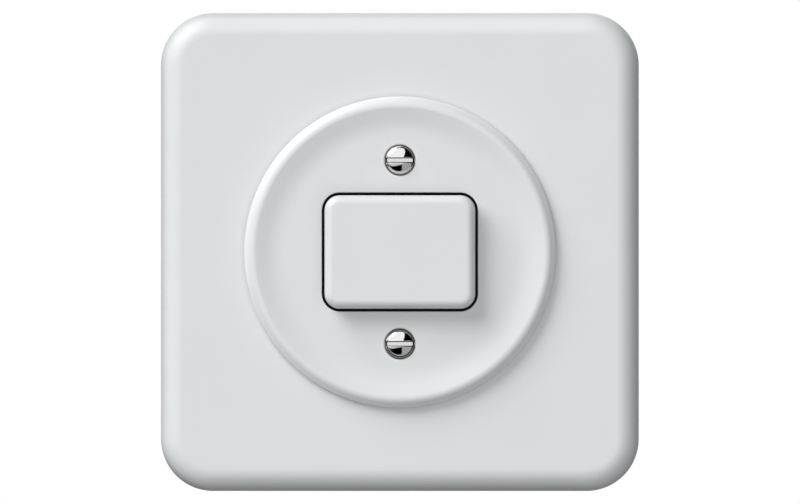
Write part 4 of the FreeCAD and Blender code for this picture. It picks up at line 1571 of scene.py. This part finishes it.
@dataclass
class Coil(Part):
    """Coil spring of round wire with closed ends, about an axis near Y.

    It leans by a tilt in degrees about the pivot's depth. Dead is the rise of an end turn in wire
    radii.
    """

    slot, finish, crease = Slot.SPRING, SPRING_FINISH, 60.0
    name: str
    node: str
    mean_r: float
    wire_r: float
    turns: float
    start: float
    end: float
    anchor: float
    keep: float
    joint: str = "button_press"
    x: float = 0.0
    tilt: float = 0.0
    pivot: float = 0.0
    body: Body = Body.FIXED
    dead: float = 2.2
    turn_steps: int = 40
    wire_steps: int = 12

    def skin(self) -> Skin:
        """The wire: a circle carried along a helix whose pitch eases to nothing at both ends.

        The centre line is (r cos a, depth(a), r sin a), where depth rises evenly but for the end
        turns, which lie close to each other.

        Returns:
            The skin.
        """
        angle = np.linspace(0, self.turns * FULL_TURN, int(self.turns * self.turn_steps) + 1)
        share = angle / angle[-1]
        closed = 1.0 / self.turns
        climb = np.clip((share - closed) / (1 - 2 * closed), 0, 1)
        low, high = self.start + self.wire_r, self.end - self.wire_r
        dead = self.dead * self.wire_r
        end_rise = np.clip(share / closed, 0, 1) + np.clip((share - 1 + closed) / closed, 0, 1)
        centre = swept(self.mean_r, angle, low + dead * end_rise + (high - low - 2 * dead) * climb)
        along = np.gradient(centre, axis=0)
        along /= np.linalg.norm(along, axis=1, keepdims=True)
        out = swept(1.0, angle, 0.0)
        across = np.cross(along, out)
        turn = np.linspace(0, FULL_TURN, self.wire_steps, endpoint=False)[:, None, None]
        wall = centre + self.wire_r * np.cos(turn) * out + self.wire_r * np.sin(turn) * across
        ends = [np.broadcast_to(centre[k], (self.wire_steps, 1, 3)) for k in (0, -1)]
        skin = Skin()
        skin.grid(self.placed(np.concatenate([ends[0], wall, ends[1]], axis=1)))
        return skin

    def placed(self, points: Array) -> Array:
        """Leans points about the Z line at the pivot's depth and moves them sideways.

        Args:
            points: Points of shape (..., 3).

        Returns:
            The points in place.
        """
        pivot = np.array([0.0, self.pivot, 0.0])
        leaning = points - pivot
        leaning[..., :2] = leaning[..., :2] @ spin(math.radians(self.tilt))
        return leaning + pivot + np.array([self.x, 0.0, 0.0])

    def build(self) -> Thing:
        """Builds the coil and gives it a mesh of its own.

        Returns:
            The piece.
        """
        coil = super().build()
        anchor = self.placed(np.array([0.0, self.anchor, 0.0])) * MM
        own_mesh(coil)
        return coil


@dataclass
class MountingPlate(Part):
    """Stamped steel plate with an opening for the insert, box screw slots and threaded holes."""

    name, node, slot, finish = "mounting_plate_sheet", "mounting_plate", Slot.PLATE, SHEET_FINISH
    side: float = 71.0
    corner_r: float = 6.0
    front: float = -1.2
    rear: float = 0.0
    opening: Point = (46.6, 41.4, 3.3)
    box_slot: Point = (7.0, 3.6, 1.79)
    box_slot_at: float = 30.0
    hole_r: float = 1.25
    hole_x: float = 14.0
    hole_z: float = 23.2
    roll: float = 0.18
    burr: float = 0.06
    band: float = 0.2

    def outlines(self) -> list[tuple[Loop, int]]:
        """Paths of the plate and its holes, each with 1 if metal lies inside it and -1 for a hole.

        Returns:
            The outer path first, then the opening, slots and holes.
        """
        box_slot = rounded_rectangle(*self.box_slot, corner=12, side=3).moved(self.box_slot_at, 0)
        hole = circle(self.hole_r, count=40)
        outer = rounded_rectangle(self.side, self.side, self.corner_r, corner=14, side=12)
        cuts = [rounded_rectangle(*self.opening, corner=8, side=12)]
        cuts += [box_slot.turned(QUARTER * k) for k in range(4)]
        cuts += [hole.moved(x * self.hole_x, z * self.hole_z) for x, z in CORNERS]
        return [(outer, 1)] + [(path, -1) for path in cuts]

    def skin(self) -> Skin:
        """Each path's edge, rolled in front and burred behind, and flat fills in front and behind.

        Returns:
            The skin.
        """
        skin = Skin()
        fronts, rears = [], []
        for path, way in self.outlines():
            section = profile(
                [(-self.roll - self.band, self.front)],
                bend((-self.roll, self.front + self.roll), self.roll, 0, 90, steps=4),
                [(0, self.rear - self.burr), (-self.burr, self.rear)],
                [(-self.burr - self.band, self.rear)],
            )
            section[:, 0] *= way
            skin.grid(carry(path, section))
            fronts.append(path.offset(section[0, 0]))
            rears.append(path.offset(section[-1, 0]))
        skin.fill(fronts[0], fronts[1:], self.front)
        skin.fill(rears[0], rears[1:], self.rear)
        return skin


@dataclass
class Bushes(Part):
    """Two knurled brass bushes in the insert, threaded inside for the disc screws."""

    name, node, slot, finish = "threaded_bush_pair", "threaded_bushes", Slot.BRASS, BRASS_FINISH
    radius: float = 2.29
    bore_r: float = 1.48
    start: float = -6.0
    end: float = 0.8
    pitch_z: float = 33.0
    teeth: int = 28
    tooth: float = 0.1
    ease: float = 0.2
    tooth_steps: int = 4

    def skin(self) -> Skin:
        """The section round each axis, its outer radius less a tooth times a wave of the angle.

        Returns:
            The skin of the pair.
        """
        skin = Skin()
        count = self.teeth * self.tooth_steps
        angle = np.arange(count)[:, None] * FULL_TURN / count
        wave = np.abs(2 * np.mod(angle * self.teeth / FULL_TURN, 1.0) - 1)
        section = profile(
            [(self.bore_r + self.ease, self.start), (self.radius - self.ease, self.start)],
            [(self.radius, self.start + self.ease), (self.radius, self.end - self.ease)],
            [(self.radius - self.ease, self.end), (self.bore_r + self.ease, self.end)],
            [(self.bore_r, self.end - self.ease), (self.bore_r, self.start + self.ease)],
        )
        radius = section[:, 0] - self.tooth * wave * np.isclose(section[:, 0], self.radius)
        ring = swept(radius, angle, section[:, 1])
        for side in SIDES:
            skin.grid(ring + np.array([0.0, 0.0, side * self.pitch_z / 2]), round_section=True)
        return skin


@dataclass
class FinishedNode(Part):
    """A CAD node whose shape is right: its triangles welded and its round faces shaded smooth."""

    node: str
    name: str
    slot: Slot
    finish: Finish
    body: Body = Body.FIXED

    def skin(self) -> Skin:
        """A copy of the node's triangles.

        Returns:
            The skin.
        """
        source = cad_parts[self.node].data
        source.calc_loop_triangles()
        skin = Skin()
        points = fetch(source.vertices, "co", 3).astype(float) / MM
        skin.take(points, fetch(source.loop_triangles, "vertices", 3, np.int32))
        return skin


def stage_sheet(name: str, points: Array, material: Material, hidden: tuple[str, ...]) -> Thing:
    """Puts an open sheet into the studio.

    Args:
        name: Name of the sheet.
        points: Its grid in millimetres, of shape (n, m, 3).
        material: Its material.
        hidden: The kinds of rays that don't see it.

    Returns:
        The sheet.
    """
    skin = Skin()
    skin.grid(points, round_path=False)
    mesh = skin.mesh(name)
    mesh.materials.append(material)
    sheet = add_object(name, mesh)
    for ray in hidden:
        setattr(sheet, f"visible_{ray}", False)
    return sheet


class Reflection:
    """A sheet in front of the switch or round it that is seen in reflections alone."""

    name: str
    glow: float

    def grid(self) -> Array:
        """Points of the sheet in millimetres."""
        raise NotImplementedError

    def build(self) -> Thing:
        """Puts the sheet into the studio, as bright as its glow.

        Returns:
            The sheet.
        """
        material, nodes = new_material(self.name)
        light = nodes.add("ShaderNodeEmission", {"Strength": self.glow})
        nodes.add("ShaderNodeOutputMaterial", {"Surface": light.outputs["Emission"]})
        hidden = ("camera", "diffuse", "transmission", "shadow")
        return stage_sheet(self.name, self.grid(), material, hidden)


@dataclass(frozen=True)
class Flag(Reflection):
    """A flat studio flag in front of the switch.

    It covers a sector about an apex (X, Z), between two angles in degrees from X towards Z, and its
    reach changes evenly from the first angle to the last.
    """

    name: str
    apex: Pair
    angles: Pair
    depth: float
    reach: Pair = (900.0, 900.0)
    glow: float = 0.0
    steps: int = 24
    rings: int = 4
    inmost: float = 0.01

    def grid(self) -> Array:
        """Apex plus radius times (cos, sin) of the angle, stepped evenly, at one depth.

        Returns:
            Points in millimetres.
        """
        angle = np.radians(np.linspace(*self.angles, self.steps + 1))[:, None]
        share = np.linspace(self.inmost, 1.0, self.rings + 1)
        radius = np.linspace(*self.reach, self.steps + 1)[:, None] * share
        return swept(radius, angle, self.depth) + np.array([self.apex[0], 0.0, self.apex[1]])


@dataclass(frozen=True)
class Tube(Reflection):
    """A round studio flag about the Y axis, over an arc in degrees from X towards Z."""

    name: str
    radius: float
    front: float
    rear: float
    glow: float
    arc: Pair = (0.0, 360.0)
    steps: int = 96

    def grid(self) -> Array:
        """The radius times (cos, sin) of the angle, carried along Y."""
        angle = np.radians(np.linspace(*self.arc, self.steps + 1))[:, None]
        return swept(self.radius, angle, np.array([self.front, self.rear]))


@dataclass(frozen=True)
class Softbox:
    """Broad even lamp, far enough off to light the whole switch alike.

    Way points from the switch to the lamp, spread is how wide the lamp looks from there in degrees,
    strength is the light on a surface that faces it, and glossy tells whether reflections show it.
    """

    name: str
    way: Point
    spread: float
    strength: float
    glossy: bool = True

    def build(self) -> Thing:
        """Puts the lamp in its direction, facing the switch.

        Returns:
            The lamp.
        """
        data = bpy.data.lights.new(self.name, "SUN")
        data.angle = math.radians(self.spread)
        data.energy = self.strength
        lamp = add_object(self.name, data)
        direction = Vector(self.way).normalized()
        lamp.location = direction
        lamp.rotation_euler = direction.to_track_quat("Z", "Y").to_euler()
        lamp.visible_glossy = self.glossy
        return lamp


@dataclass
class Studio:
    """Camera, lamps, flags, floor and white surround. Scale is in pixels per millimetre."""

    frame_w: float = 800.0
    scale: float = 5.562
    centre: Pair = (0.02, 0.005)
    face: float = -9.0
    lens: float = 1000.0
    sensor: float = 36.0
    clip_end: float = 100.0
    ambient: float = 0.05
    floor_z: float = -75.0
    floor_side: float = 1200.0
    floor_steps: int = 8
    lamps: tuple[Softbox, ...] = (
        Softbox("key", (-0.587, -0.480, 0.652), spread=43.0, strength=3.15),
        Softbox("fill", (0.15, -0.98, -0.14), spread=66.0, strength=1.5, glossy=False),
        Softbox("rear", (0.35, 0.85, 0.40), spread=40.0, strength=2.0, glossy=False),
    )
    reflections: tuple[Reflection, ...] = (
        Flag("flag_right", (63.0, 0.0), angles=(-5.0, 73.0), depth=-500.0),
        Flag("flag_left", (54.0, -92.0), angles=(191.0, 270.0), depth=-500.0, reach=(700.0, 260.0)),
        Flag("flag_low", (54.0, -60.0), angles=(200.0, 359.0), depth=-520.0, glow=0.38),
        Flag("flag_mid", (54.0, -60.0), angles=(178.0, 202.0), depth=-515.0, glow=0.6),
        Tube("flag_round", radius=300.0, front=-170.0, rear=250.0, glow=0.03),
        Tube("flag_rear", radius=300.0, front=250.0, rear=900.0, glow=0.4),
        Tube("strip_upper_left", radius=290.0, front=-56.0, rear=-5.0, glow=4.0, arc=(85.0, 190.0)),
    )

    def camera(self) -> Thing:
        """Camera straight in front, far off, so that the plate fills the frame as in the picture.

        Its distance is the frame's width in millimetres times the lens over the sensor.

        Returns:
            The camera.
        """
        data = bpy.data.cameras.new("front_camera")
        data.lens = self.lens
        data.sensor_width = self.sensor
        data.clip_end = self.clip_end
        camera = add_object("front_camera", data)
        away = self.frame_w / self.scale * MM * self.lens / self.sensor
        camera.location = (self.centre[0] * MM, self.face * MM - away, self.centre[1] * MM)
        camera.rotation_euler = (QUARTER, 0.0, 0.0)
        bpy.context.scene.camera = camera
        return camera

    def world(self) -> None:
        """White to the camera and in reflections, and a plain soft level to everything else."""
        world = bpy.data.worlds.new("surround")
        world.use_nodes = True
        bpy.context.scene.world = world
        nodes = Nodes(world.node_tree)
        levels = [{"Color": WHITE, "Strength": strength} for strength in (self.ambient, 1.0)]
        soft, white = [
            nodes.add("ShaderNodeBackground", level).outputs["Background"] for level in levels
        ]
        rays = nodes.add("ShaderNodeLightPath").outputs
        seen = rays["Is Camera Ray"]
        for kind in ("Is Glossy Ray", "Is Transmission Ray"):
            seen = nodes.maths("MAXIMUM", seen, rays[kind])
        mix = nodes.add("ShaderNodeMixShader", {"Fac": seen, 1: soft, 2: white})
        nodes.add("ShaderNodeOutputWorld", {"Surface": mix.outputs["Shader"]})

    def floor(self) -> Thing:
        """Plain pale floor under the switch, a flat grid.

        Returns:
            The floor.
        """
        spread = np.linspace(-self.floor_side / 2, self.floor_side / 2, self.floor_steps + 1)
        x, y = np.meshgrid(spread, spread, indexing="ij")
        points = np.stack([x, y, np.full_like(x, self.floor_z)], axis=-1)
        hidden = ("diffuse", "glossy", "shadow")
        return stage_sheet("floor", points, FLOOR_FINISH.material(), hidden)

    def build(self) -> None:
        """Sets up the studio. The flags give the screws their reflections, and the edges depth."""
        self.camera()
        self.world()
        self.floor()
        for item in (*self.reflections, *self.lamps):
            item.build()
        bpy.context.scene.view_settings.view_transform = "Standard"


def at_corners(facing: Facing, x: float, y: float, z: float) -> Seats:
    """Seats at the four corners of an upright rectangle, all at one depth."""
    return [(facing, (across * x, y, up * z)) for across, up in CORNERS]


def screw_sets() -> list[CheeseScrews]:
    """The three sets of small screws with their seats.

    Returns:
        Insert screws, housing screws and terminal screws.
    """
    insert = at_corners(Facing.FRONT, x=14.0, y=-3.2, z=23.2)
    housing = at_corners(Facing.REAR, x=19.6, y=25.35, z=17.0)
    terminal = [
        (Facing.RIGHT, (21.4, 19.95, 0.0)),
        (Facing.LEFT, (-21.4, 19.95, 0.0)),
        (Facing.DOWN, (5.4, 19.95, -18.8)),
    ]
    return [
        CheeseScrews(
            "insert_screw_set", "insert_screws", shank_r=1.19, head_r=2.2, head_l=1.5, shank_l=4.2,
            pitch=0.45, threaded=4.1, seats=insert,
        ),
        CheeseScrews(
            "housing_screw_set", "housing_screws", shank_r=0.99, head_r=2.0, head_l=1.3,
            shank_l=20.05, pitch=0.4, threaded=6.0, seats=housing,
        ),
        CheeseScrews(
            "terminal_screw_set", "terminal_screws", shank_r=1.19, head_r=2.2, head_l=1.6,
            shank_l=2.5, pitch=0.45, threaded=2.4, seats=terminal,
        ),
    ]


def springs() -> list[Coil]:
    """The two return springs and the contact pin's spring.

    Returns:
        The coils.
    """
    pair = [
        Coil(
            f"return_coil_{side}", f"return_spring_{side}", mean_r=1.85, wire_r=0.25, turns=5.5,
            start=-11.2, end=-1.7, anchor=-1.7, keep=0.62, x=x,
        )
        for side, x in (("left", -8.6), ("right", 8.6))
    ]
    contact = Coil(
        "contact_coil", "contact_spring", mean_r=1.2, wire_r=0.15, turns=4.5, start=11.8, end=14.44,
        anchor=11.8, keep=0.77, joint="contact_pin_slide", tilt=-10.0, pivot=10.3, body=Body.ROCKER,
    )
    return [*pair, contact]


def kept_nodes() -> list[FinishedNode]:
    """CAD nodes whose own shape shows, with their finishes.

    Returns:
        The nodes to dress.
    """
    housing, brass = (Slot.HOUSING, HOUSING_FINISH), (Slot.BRASS, BRASS_FINISH)
    silver, black = (Slot.SILVER, SILVER_FINISH), (Slot.PLUNGER, PLUNGER_FINISH)
    strips = ("contact_strip_left", "contact_strip_right", "fulcrum_strip")
    blocks = ("terminal_block_left", "terminal_block_right", "terminal_block_common")
    return [
        FinishedNode("housing_cover", "housing_front_half", *housing),
        FinishedNode("housing_base", "housing_rear_half", *housing),
        FinishedNode("plunger", "plunger_carrier", *black, Body.BUTTON),
        FinishedNode("rocker", "rocker_moulding", Slot.ROCKER, ROCKER_FINISH, Body.ROCKER),
        FinishedNode("rocker_axle", "rocker_axle_pin", Slot.SPRING, SPRING_FINISH, Body.ROCKER),
        FinishedNode("contact_pin", "contact_pin_turning", *black, Body.PIN),
        FinishedNode("contact_lever", "contact_lever_strip", *brass, Body.LEVER),
        FinishedNode("moving_contacts", "moving_contact_pair", *silver, Body.LEVER),
        FinishedNode("fixed_contacts", "fixed_contact_pair", *silver),
        *[FinishedNode(node, f"{node}_brass", *brass) for node in (*strips, *blocks)],
    ]


def tappet() -> Thing:
    """The leaf under the button, which gives way along its length when the button is pressed; it is
    built here in its resting shape.

    Returns:
        The piece.
    """
    leaf = FinishedNode(
        "tappet_spring", "tappet_leaf", Slot.SPRING, SPRING_FINISH, Body.BUTTON
    ).build()
    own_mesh(leaf)
    return leaf


def main() -> None:
    """Builds the switch and its studio."""
    logging.basicConfig(level=logging.INFO, format="%(message)s")
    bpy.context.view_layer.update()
    front = [CoverPlate(), CoverDisc(), ButtonCap(), DiscScrews(), MountingPlate(), Bushes()]
    for part in (*front, *screw_sets(), *springs(), *kept_nodes()):
        part.build()
    tappet()
    Studio().build()
    bpy.context.view_layer.update()


if __name__ == "__main__":
    main()
